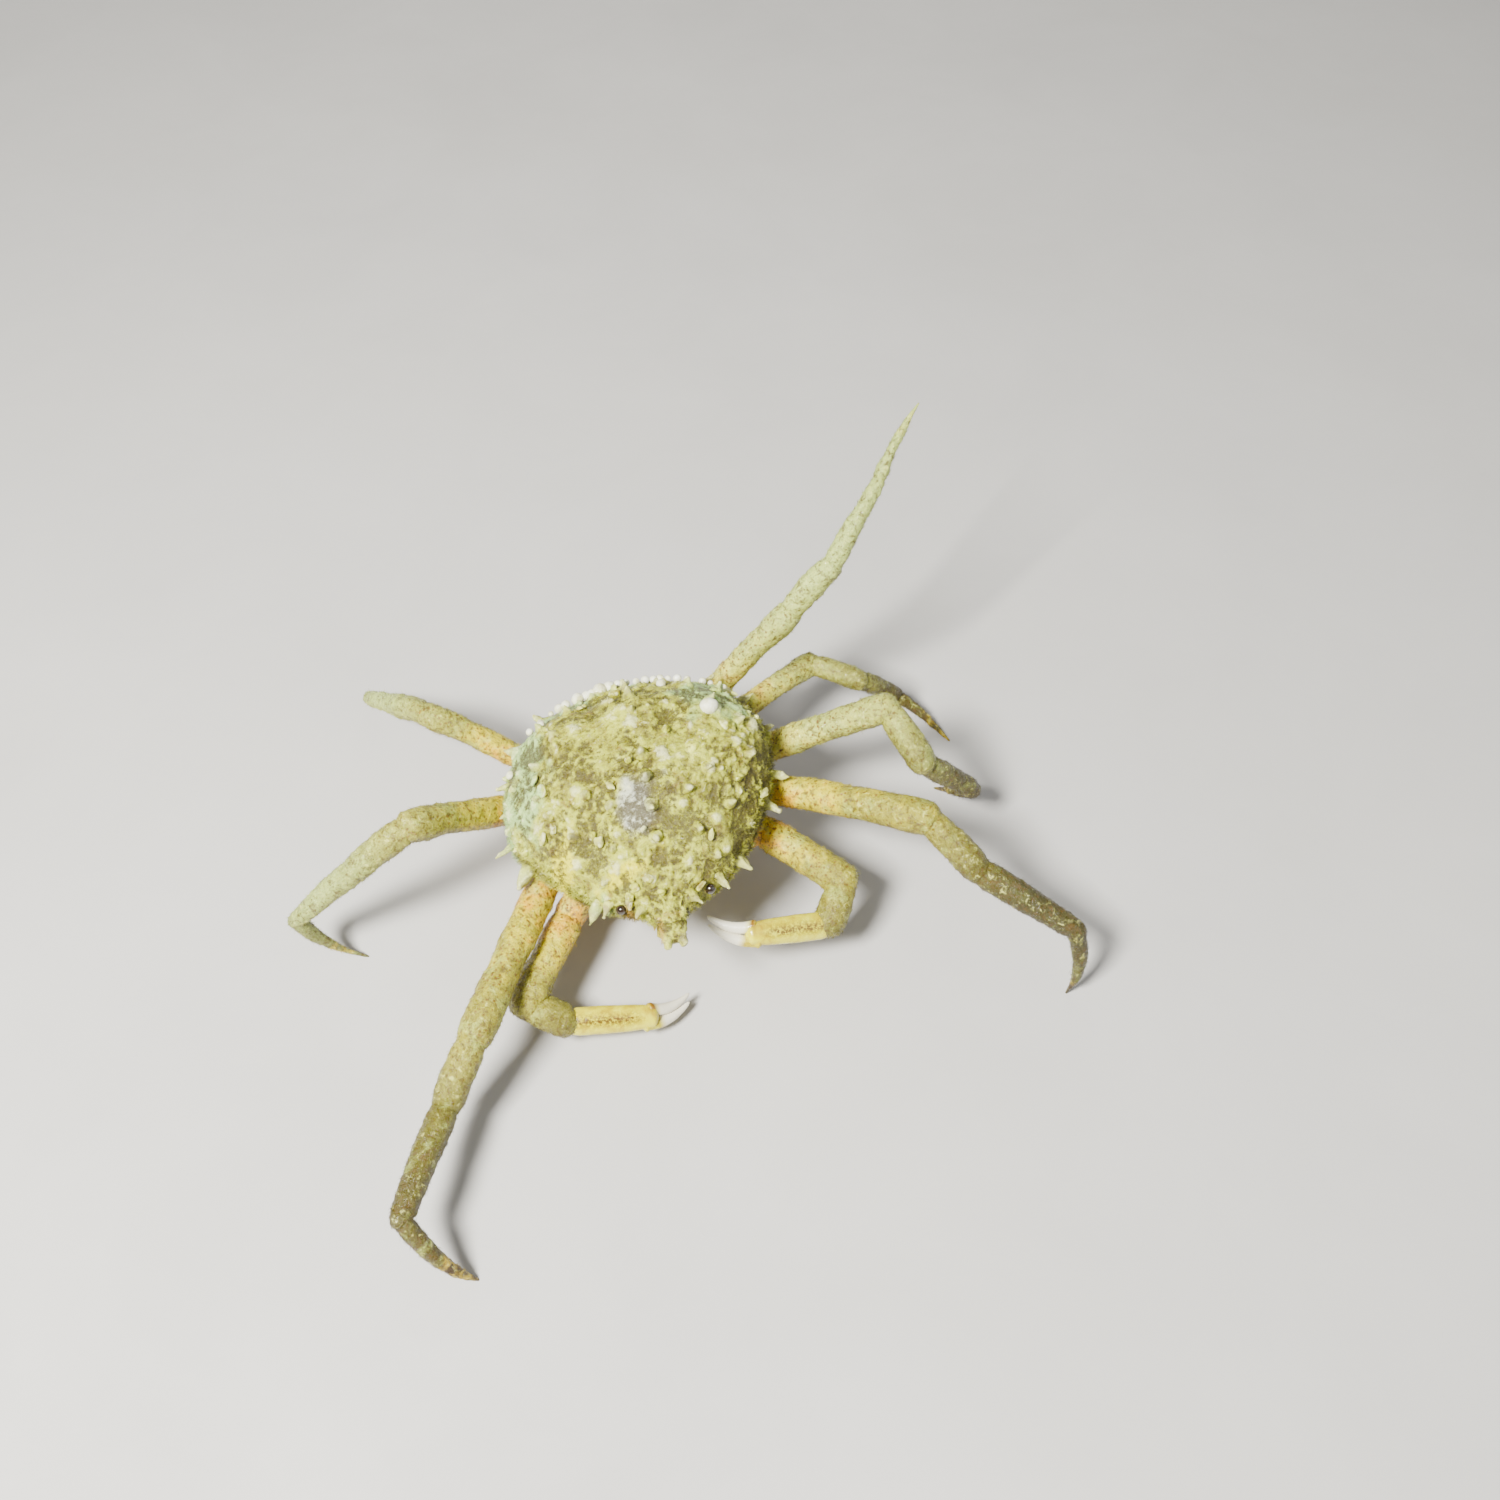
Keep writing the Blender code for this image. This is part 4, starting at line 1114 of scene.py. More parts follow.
    def knob_relief(self, grid: Array) -> Array:
        """Blunt tubercles: bell curves at rows in turn, spread round by the golden ratio.

        Args:
            grid: Places on the dome.

        Returns:
            How far they stand out at each place.
        """
        relief = np.zeros(grid.shape[:2])
        for k in range(self.knobs):
            dice = random.Random(500 + k)
            row = 21.0 - 63.0 * (k + 0.5) / self.knobs + dice.uniform(-1.0, 1.0)
            place, _ = self.at(row, math.pi * (0.08 + 0.84 * ((k * GOLDEN) % 1.0)))
            reach = dice.uniform(0.9, 1.7)
            gap = np.sum((grid - place) ** 2, axis=-1) / reach**2
            relief = np.maximum(relief, 0.75 * reach * np.exp(-gap * 1.3))
        return relief

    def surface(self) -> tuple[Array, Array, dict[str, Array]]:
        """The crusted dome: its closed rows, pushed out by the crust and the tubercles.

        Returns:
            The grid, its normals and its values.
        """
        y, shift, shrink = self.rows()
        top = int(self.ring * self.top_share)
        angle = np.concatenate([np.linspace(0, np.pi, top, endpoint=False),
                                np.linspace(np.pi, 2 * np.pi, self.ring - top, endpoint=False)])
        grid = self.dome(*np.meshgrid(y, angle, indexing="ij"))
        middle = grid.mean(axis=1, keepdims=True)
        grid = middle + (grid - middle) * shrink[:, None, None]
        grid[..., 1] += shift[:, None]
        normals = grid_normals(grid)
        upper = np.clip(np.sin(angle) * 2.5 + 0.6, 0.12, 1.0)[None, :]
        slim = np.clip((grid[..., 1] + 56.0) / 10.0, 0.5, 1.0)
        crust, fine, small = self.crust(grid)
        knobs = self.knob_relief(grid)
        grid = grid + normals * ((crust * slim + knobs) * upper)[..., None]
        values = self.marks(grid)
        # height sets the painted shade in the low places and the painted highlight on the high
        # ones.
        values["height"] = np.clip(0.45 + 0.55 * crust + 0.5 * (fine - 0.5) + knobs, 0, 1)
        values["pale"] = np.clip(knobs * 0.08 + (small - 0.85) * 0.6, 0, 0.2)
        return grid, grid_normals(grid), values

    def thorn(self, root: Array, way: Array, length: float, radius: float,
              blunt: float = 0.0) -> Surface:
        """A spine: a cone with a flared root, a rounded tip and a slight forward bend.

        Args:
            root: Where it leaves the shell.
            way: Its direction.
            length: Its length.
            radius: Its radius at the root.
            blunt: 0 for a sharp tip to 1 for a knob.

        Returns:
            The surface.
        """
        u = np.array([-0.35, -0.1, 0.04, 0.16, 0.32, 0.5, 0.68, 0.84, 0.94, 0.985])
        wide = np.interp(u, [-0.35, 0.04, 0.2, 0.5, 0.8, 0.94, 1.0],
                         [1.9, 1.5, 1.02, 0.72, 0.42, 0.24, 0.05])
        wide = wide + blunt * 0.45 * np.clip(u * 1.4, 0, 1) * (u < 0.97)
        first = unit(np.cross(way, np.array([0.3, 0.2, 1.0])))
        second = np.cross(way, first)
        bend = np.array([0.0, -0.12, 0.0]) * length * (np.clip(u, 0, 1) ** 2)[:, None]
        arms = ring_arms(first, second, turns_of(14))
        grid = swept(root + u[:, None] * length * way + bend, arms, wide * radius)
        rough = cloud(grid, 1.1, 83, 3)
        grid = grid + 0.3 * radius * unit(arms)[None] * rough[..., None]
        values = {k: v * 0.5 for k, v in self.marks(grid).items()}
        tip = np.clip((u - 0.1) / 0.6, 0, 1)[:, None]
        # height sets the painted shade at the spine's root and the painted highlight towards its
        # tip.
        rise = np.clip(0.3 + 0.5 * u[:, None] + 0.5 * rough, 0, 0.9)
        return closed_tube(grid, **values, height=rise, pale=(0.3 - 0.25 * blunt) * tip)

    def lump(self, middle: Array, out: Array, radius: Array, seed: int, pale: float,
             rough: float) -> Surface:
        """A rough lump: an ellipsoid whose radius wavers with noise, lying along the shell.

        Args:
            middle: Its middle.
            out: The shell's outward direction there.
            radius: Its half sizes, the last of them along the outward direction.
            seed: Picks its shape.
            pale: How white it is.
            rough: How much its radius wavers.

        Returns:
            The surface.
        """
        ball = unit_ball(13, 20, 0.12)
        waver = 1 + rough * cloud(ball + seed, 0.8, seed, 3)
        first = unit(np.cross(out, np.array([math.cos(seed), math.sin(seed), 0.1])))
        axes = np.stack([first, np.cross(out, first), out])
        grid = middle + (ball * radius * waver[..., None]) @ axes
        values = {k: v * (1 - pale) for k, v in self.marks(grid).items()}
        return closed_tube(grid, **values, height=np.clip(0.6 + 1.6 * (waver - 1), 0, 1),
                           pale=np.full(waver.shape, pale))

    def spines(self) -> Surface:
        """All spines of the shell and the two horns of the rostrum."""
        parts = []
        for side in (1.0, -1.0):
            mirror = np.array([side, 1.0, 1.0])
            way = (HORN_TIP - HORN_ROOT) * mirror
            length = float(np.linalg.norm(way))
            parts.append(self.thorn(HORN_ROOT * mirror, unit(way), length, HORN_RADIUS, 0.7))
        for y, length in MEDIAN_SPINES:
            root, out = self.at(y, math.pi / 2)
            parts.append(self.thorn(root, unit(out + [0, -0.25, 0]), length, 1.0))
        for only, x, y, z, bearing, rise, length, radius in SIDE_SPINES:
            for side in (only,) if only else (1, -1):
                way = pointing(bearing, rise) * np.array([side, 1.0, 1.0])
                parts.append(self.thorn(np.array([side * x, y, z]) - way, way, length + 1, radius))
        for x, y, length in UPPER_SPINES:
            for side in (1.0, -1.0):
                root, out = self.over(side * x, y)
                parts.append(self.thorn(root, unit(out), length, 0.95))
        return joined(parts)

    def beads(self) -> Surface:
        """White lumps along the rear rim, crowded at the right, and a few large ones on top."""
        parts = []
        for k in range(self.rim_beads):
            dice = random.Random(100 + k)
            share = (k + 0.5) / self.rim_beads
            angle = math.pi * (0.13 + 0.74 * share)
            y = 21.4 - 6.8 * abs(2 * share - 1) ** 2.2 + dice.uniform(-0.8, 0.6)
            place, out = self.at(y, angle)
            reach = dice.uniform(0.8, 1.5) * (1.3 if 0.5 < share < 0.85 else 0.8)
            parts.append(self.lump(place + 0.9 * out, out, np.full(3, reach), 200 + k, 0.9, 0.05))
        for x, y, reach, seed in BIG_BEADS:
            place, out = self.over(x, y)
            size = np.array([1.0, 0.9, 0.85]) * reach
            parts.append(self.lump(place + 0.6 * out, out, size, seed, 0.9, 0.05))
        return joined(parts)

    def lumps(self) -> Surface:
        """Crusted lumps and small bits of debris, of the shell's own colours."""
        parts = []
        for x, y, reach, seed in BIG_LUMPS:
            place, out = self.over(x, y)
            parts.append(self.lump(place, out, np.array([1.0, 0.85, 0.7]) * reach, seed, 0.0, 0.3))
        dice = random.Random(77)
        for k in range(self.debris):
            angle = math.pi * dice.uniform(0.05, 0.95)
            place, out = self.at(dice.uniform(-42.0, 22.0), angle)
            sizes = np.array([dice.uniform(0.5, 1.5), dice.uniform(0.5, 1.2),
                              dice.uniform(0.5, 1.1)])
            parts.append(self.lump(place + 0.3 * out, out, sizes, 400 + k,
                                   dice.choice((0.0, 0.0, 0.2)), 0.3))
        return joined(parts)

    def hair(self, grid: Array, normals: Array, values: dict[str, Array]) -> tuple[Surface, Array]:
        """Short bristles over the crust, longer and denser along the rim.

        Args:
            grid: The crusted dome.
            normals: Its normals.
            values: Its values.

        Returns:
            The coat and its places on the shell's unwrap.
        """
        share = np.arange(self.ring) / self.ring
        rim = (np.exp(-(((share - 0.01) % 1.0) / 0.05) ** 2)
               + np.exp(-((share - self.top_share) / 0.05) ** 2)
               + np.exp(-((share - 1.0) / 0.04) ** 2))
        over = np.where(share < self.top_share + 0.05, 0.35, 0.12)
        picked = scattered(grid, self.hairs, 9, (over + 1.6 * rim)[None, :])
        i, j = picked.T
        dice = np.random.default_rng(19)
        roots, out = grid[i, j], normals[i, j]
        away = roots * [1.0, 0.55, 0.0] + [0.0, 8.0, 0.0] + dice.normal(0, 9.0, roots.shape)
        away[:, 2] -= 6.0
        length = (0.55 + 0.75 * rim[j]) * dice.uniform(0.7, 1.5, len(i))
        chart = chart_of(j / self.ring, i / self.stations)
        return tuft_coat(roots, out, away, length, dice.uniform(0.05, 0.10, len(i)),
                         dice.uniform(0.5, 1.25, len(i)), chart,
                         {k: v[i, j] for k, v in values.items()})

    def build(self) -> None:
        """Makes the shell's pieces and dresses them."""
        grid, normals, values = self.surface()
        coat, bake = self.hair(grid, normals, values)
        coat.points = leaned(coat.points)
        skin = closed_tube(leaned(grid), **values)
        add_piece("shell_dome", skin, SHELL_FINISH, ("carapace",))
        for name, part, finish in (("shell_spines", self.spines(), SHELL_FINISH),
                                   ("shell_lumps", self.lumps(), LUMP_FINISH),
                                   ("shell_beads", self.beads(), BEAD_FINISH)):
            part.points = leaned(part.points)
            add_piece(name, part, finish)
        add_piece("shell_hair", coat, SHELL_HAIR_FINISH, bake=bake)


@dataclass(frozen=True)
class Profile:
    """How thick a limb segment is along its length, as shares of its radius, and how it bows."""

    shares: tuple[float, ...]
    sizes: tuple[float, ...]
    bow: float = 0.0
    hairs: int = 0

    def at(self, u: Array, reach: int) -> Array:
        """The thickness at shares of the length, averaged over neighbours.

        Args:
            u: Shares of the length.
            reach: How many neighbours on each side.

        Returns:
            The thickness, as shares of the radius.
        """
        size = np.interp(u, self.shares, self.sizes)
        near = 2 * reach + 1
        return np.convolve(np.pad(size, reach, mode="edge"), np.ones(near) / near, mode="valid")


PROFILES = {
    "base": Profile((0, 0.3, 0.55, 0.8, 1), (1.0, 0.98, 1.0, 1.05, 0.95), 0.0, 450),
    "merus": Profile((0, 0.06, 0.14, 0.3, 0.55, 0.8, 0.92, 1),
                     (0.80, 0.90, 1.0, 1.0, 0.96, 1.0, 1.08, 0.98), 0.02, 2200),
    "carpus": Profile((0, 0.1, 0.25, 0.5, 0.75, 0.9, 1),
                      (0.82, 0.92, 1.02, 1.08, 1.06, 1.08, 0.96), 0.03, 1000),
    "propodus": Profile((0, 0.06, 0.14, 0.35, 0.7, 0.92, 1),
                        (0.84, 0.96, 1.04, 1.0, 0.9, 0.86, 0.74), 0.01, 1400),
    "dactyl": Profile((0, 0.08, 0.2, 0.35, 0.6, 0.82, 0.94, 1),
                      (0.92, 1.02, 0.96, 0.84, 0.66, 0.44, 0.25, 0.12), 0.09, 850),
    "palm": Profile((0, 0.05, 0.12, 0.4, 0.75, 0.93, 1),
                    (0.74, 0.92, 1.0, 1.02, 0.95, 0.86, 0.78)),
    "finger": Profile((0, 0.12, 0.3, 0.6, 0.85, 0.95, 1), (1.2, 1.1, 1.02, 0.8, 0.5, 0.34, 0.18)),
}


@dataclass(frozen=True)
class LegTone:
    """How minty or dusky each of a leg's five segments is, from 0 to 1."""

    mint: tuple[float, ...] = (0.0, 0.0, 0.0, 0.0, 0.0)
    dusk: tuple[float, ...] = (0.0, 0.0, 0.0, 0.0, 0.0)


TONES = {
    "leg_1_right": LegTone(dusk=(0, 0, 0, 0.25, 0.1)),
    "leg_1_left": LegTone(dusk=(0, 0, 0.15, 0.9, 0.5)),
    "leg_2_right": LegTone(mint=(0, 0, 0.2, 0.7, 0.2)),
    "leg_2_left": LegTone(mint=(0, 0.5, 0.2, 0, 0), dusk=(0, 0, 0, 0.5, 0.2)),
    "leg_3_right": LegTone(mint=(0, 0, 0.4, 0.85, 0.3)),
    "leg_3_left": LegTone(mint=(0, 0.3, 0.2, 0, 0)),
    "leg_4_left": LegTone(mint=(0, 0.5, 0.75, 0.7, 0.7)),
    "leg_4_right": LegTone(mint=(0, 0, 0.2, 0.3, 0.2)),
}


@dataclass
class Tube:
    """A limb segment's skin: a bowed tube with rounded ends, roughened by grains."""

    start: Array
    end: Array
    radius: float
    profile: Profile
    hint: Array
    thin: float = 1.0
    rings: int = 72
    sides: int = 44
    cap: float = 0.55
    rough: float = 0.26
    seed: int = 1

    def length(self) -> float:
        """Its length without the caps."""
        return float(np.linalg.norm(self.end - self.start))

    def cap_share(self) -> float:
        """How far a cap reaches past its end, as a share of the length."""
        return self.cap * self.radius / self.length()

    def shares(self) -> Array:
        """Shares of the length: past both ends by the caps, closer together there."""
        cap = self.cap_share()
        even = np.linspace(0.0, 1.0, self.rings)
        eased = 0.5 - 0.5 * np.cos(np.linspace(0.0, np.pi, self.rings))
        return -cap + (1 + 2 * cap) * (0.35 * eased + 0.65 * even)

    def grid(self) -> tuple[Array, Array, Array]:
        """The rings. Past its end a ring shrinks like a sphere's.

        Returns:
            The grid, its normals, and each ring's share of the length.
        """
        first, second = across(unit(self.end - self.start), self.hint)
        u = self.shares()
        over = np.clip(np.maximum(-u, u - 1.0) / self.cap_share(), 0.0, 0.985)
        size = self.profile.at(u, 3) * np.sqrt(1 - over**2)
        inside = np.clip(u, 0.0, 1.0)
        bow = second * (self.profile.bow * self.length() * 4 * inside * (1 - inside))[:, None]
        grid = swept(self.start + (self.end - self.start) * u[:, None] + bow,
                     ring_arms(first, second, turns_of(self.sides), self.thin),
                     size * self.radius)
        normals = grid_normals(grid)
        grains = (1.1 * cloud(grid, 7.0, self.seed, 3) + 0.9 * pebbles(grid, 1.6, self.seed, 0.45)
                  + 0.5 * cloud(grid, 1.0, self.seed + 9, 2) - 0.6)
        taper = np.clip(size / 0.5, 0.15, 1.0)[:, None]
        grid = grid + normals * (grains * self.rough * taper)[..., None]
        return grid, grid_normals(grid), u


@dataclass
class Limb:
    """A walking leg: five fuzzy segments and the coat of short bristles over them."""

    name: str
    coat: list[tuple[Surface, Array]] = field(default_factory=list)
    bristle: float = 0.55
    skin_share: float = 0.84

    def joints(self) -> list[Array]:
        """The six points of the chain; a foot that stands ends on the floor."""
        pair, side = self.name.rsplit("_", 1)
        (x, y, z), lengths, _ = LIMBS[pair]
        x = x if side == "left" else -x
        points = [np.array([x, y, z + LEAN * x])]
        for length, bearing, rise in zip(lengths, *POSE[self.name]):
            if len(points) == len(SEGMENTS) and self.name not in RAISED:
                rise = -math.degrees(math.asin(min(1.0, points[-1][2] / length)))
            points.append(points[-1] + length * pointing(bearing, rise))
        return points

    def radii(self) -> tuple[float, ...]:
        """The radii of its segments."""
        return LIMBS[self.name.rsplit("_", 1)[0]][2]

    def values(self, index: int, u: Array, normals: Array) -> dict[str, Array]:
        """What the leg's finish reads.

        Args:
            index: Number of the segment.
            u: Each ring's share of the segment.
            normals: The skin's normals.

        Returns:
            The values reach, mint, dusk and under, one for each grid point; under is painted
            shade, stronger where the skin faces down.
        """
        tone = TONES.get(self.name, LegTone())
        shape = normals.shape[:2]
        along = (index + np.clip(u, 0.0, 0.999)) / 5

        def spread(shares: tuple[float, ...]) -> Array:
            """A tone along the leg, in a straight line from one segment's middle to the next."""
            line = np.interp(along * 5, np.arange(5) + 0.5, shares)
            return np.broadcast_to(line[:, None], shape)

        # under is painted shade: it grows as the skin's normal turns down.
        return {"reach": np.broadcast_to(along[:, None], shape), "mint": spread(tone.mint),
                "dusk": spread(tone.dusk), "under": np.clip(0.2 - 0.7 * normals[..., 2], 0, 0.8)}

    def grow_hair(self, index: int, grid: Array, normals: Array, u: Array,
                  count: int) -> None:
        """Adds a segment's bristles, lying towards the foot and standing off a little.

        Args:
            index: Number of the segment.
            grid: Its skin.
            normals: The skin's normals.
            u: Each ring's share of the segment.
            count: How many bristles.
        """
        seed = sum(ord(c) for c in self.name) * 7 + index
        bare = np.clip((0.82 - u) / 0.1, 0, 1) if index == 4 else np.ones(len(u))
        i, j = scattered(grid, count, seed, bare[:, None] + 1e-4).T
        dice = np.random.default_rng(seed + 1)
        lie = unit(np.gradient(grid, axis=0)[i, j]) + dice.normal(0, 0.35, (count, 3))
        stray = np.where(dice.random(count) < 0.08, 2.1, 1.0)
        chart = np.stack([j / grid.shape[1], (index + np.clip(u[i], 0, 1)) / 5], -1) * 0.95 + 0.02
        values = self.values(index, u, normals)
        self.coat.append(tuft_coat(
            grid[i, j], normals[i, j], lie, self.bristle * dice.uniform(0.6, 1.5, count) * stray,
            dice.uniform(0.03, 0.06, count), dice.uniform(0.3, 1.1, count), chart,
            {k: v[i, j] for k, v in values.items()}))

    def segment(self, index: int, kind: str, points: list[Array]) -> None:
        """Makes one fuzzy segment.

        Args:
            index: Its number.
            kind: Its profile's name.
            points: The limb's chain.
        """
        profile = PROFILES[kind]
        tip = kind == "dactyl"
        hint = points[index] - points[index - 1] + 4.0 * UP if tip else UP
        tube = Tube(points[index], points[index + 1], self.radii()[index], profile, hint,
                    cap=0.12 if tip else 0.8, seed=40 + 10 * index + len(self.name))
        grid, normals, u = tube.grid()
        if tip and self.name not in RAISED:
            grid[..., 2] = np.maximum(grid[..., 2], 0.02)
        node = f"{self.name}_{kind}"
        add_piece(f"{node}_skin", closed_tube(grid, **self.values(index, u, normals)),
                  LEG_FINISH, (node,))
        self.grow_hair(index, grid, normals, u, profile.hairs)

    def joint_skins(self, points: list[Array], count: int) -> None:
        """Dark skin in the bends: a ball at each joint, a little thinner than the leg.

        Args:
            points: The limb's chain.
            count: How many joints.
        """
        radii = self.radii()
        ball = unit_ball(16, 24, 0.1)
        parts = [closed_tube(points[i] + self.skin_share * min(radii[i - 1], radii[i]) * ball)
                 for i in range(1, count + 1)]
        add_piece(f"{self.name}_joint_skins", joined(parts), SKIN_FINISH)

    def add_coat(self) -> None:
        """Joins the segments' bristles into one piece."""
        bake = np.concatenate([chart for _, chart in self.coat])
        add_piece(f"{self.name}_hair", joined([c for c, _ in self.coat]), LEG_HAIR_FINISH,
                  bake=bake)

    def build(self) -> None:
        """Makes the leg's pieces."""
        points = self.joints()
        for index, kind in enumerate(SEGMENTS):
            self.segment(index, kind, points)
        self.joint_skins(points, 4)
        self.add_coat()


@dataclass
class Claw(Limb):
    """A claw-bearing limb: three fuzzy segments, a smooth palm and two toothed fingers."""

    tilt: float = 38.0
    root_apart: float = 1.8
    tip_apart: float = 1.1
    fixed_back: float = 1.4
    moving_back: float = 0.2
    curl: float = 1.3

    def finger(self, start: Array, end: Array, opening: Array, side: float,
               radius: float) -> Surface:
        """A curved finger with a row of fine teeth along its inner edge.

        Args:
            start: Root.
            end: Tip.
            opening: Direction in which the fingers part.
            side: -1 for the fixed finger, 1 for the moving one.
            radius: Its radius.

        Returns:
            The surface.
        """
        u = np.linspace(-0.12, 1.0, 120)
        turns = turns_of(28)
        first, second = across(unit(end - start), opening)
        ends = np.sqrt(np.clip((1.012 - u) / 0.05, 0, 1) * np.clip((u + 0.125) / 0.06, 0, 1))
        size = PROFILES["finger"].at(u, 4) * ends * radius
        arch = self.curl * 4 * np.clip(u, 0, 1) * (1 - u)
        middle = start + (end - start) * u[:, None] - opening * arch[:, None]
        inner = np.clip(-side * np.sin(turns), 0, 1) ** 6
        teeth = 0.15 * np.abs(np.sin(u * 17 * np.pi)) ** 0.6 * np.clip((u - 0.3) / 0.1, 0, 1)
        wide = size[:, None] + teeth[:, None] * inner[None] * (u < 0.98)[:, None]
        grid = middle[:, None] + ring_arms(first, second, turns, 0.85) * wide[..., None]
        pale = np.clip((u - (0.24 if side < 0 else 0.02)) / 0.16, 0, 1)[:, None]
        rust = (0.9 * np.exp(-((u / 0.07) ** 2)) if side > 0 else 0 * u)[:, None]
        return closed_tube(grid, band=0.4 * (1 - pale), white=pale, rust=rust)

    def palm(self, points: list[Array]) -> tuple[Surface, Array, Array]:
        """The palm, slimmer at both ends, with fine granules and a speckled streak on top.

        Args:
            points: The limb's chain.

        Returns:
            The palm's surface, its direction, and the opening's direction.
        """
        way = unit(points[4] - points[3])
        level = unit(np.cross(UP, way))
        level = -level if level[1] < 0 else level
        tilt = math.radians(self.tilt)
        opening = unit(math.cos(tilt) * level + math.sin(tilt) * beside(UP, way))
        tube = Tube(points[3], points[4], self.radii()[3], PROFILES["palm"], opening, 0.8,
                    rings=120, sides=72, cap=0.42, rough=0.04, seed=5)
        grid, normals, u = tube.grid()
        facing = np.clip(np.sum(normals * UP, -1), 0, 1)
        parting = np.sum(normals * opening, -1)
        line = u[:, None]
        streak = 1 - np.abs(parting)
        band = np.clip(1.5 * streak**2 * facing, 0, 1) * np.clip((0.97 - line) / 0.2, 0, 1)
        rust = (0.7 * np.exp(-(((line - 1.0) / 0.04) ** 2)) * np.clip(parting + 0.3, 0, 1)
                + 0.5 * np.clip((0.03 - line) / 0.06, 0, 1))
        return closed_tube(grid, band=band, white=np.zeros((1, 1)), rust=rust), way, opening

    def build(self) -> None:
        """Makes the claw's pieces."""
        points = self.joints()
        for index, kind in enumerate(SEGMENTS[:3]):
            self.segment(index, kind, points)
        palm, way, opening = self.palm(points)
        fixed, moving = (
            self.finger(points[4] + side * opening * self.root_apart - way * back,
                        points[5] + side * opening * self.tip_apart, opening, side,
                        self.radii()[4])
            for side, back in ((-1.0, self.fixed_back), (1.0, self.moving_back)))
        add_piece(f"{self.name}_palm_skin", joined([palm, fixed]), CLAW_FINISH,
                  (f"{self.name}_palm",))
        add_piece(f"{self.name}_finger_skin", moving, CLAW_FINISH,
                  (f"{self.name}_finger",))
        self.joint_skins(points, 3)
        self.add_coat()


@dataclass(frozen=True)
class Bristles:
    """How the bristles of a piece of the underside stand, with ranges of width and lift."""

    count: int
    seed: int
    lie: tuple[float, float, float]
    sideways: float
    stray: float
    width: tuple[float, float]
    lift: tuple[float, float]


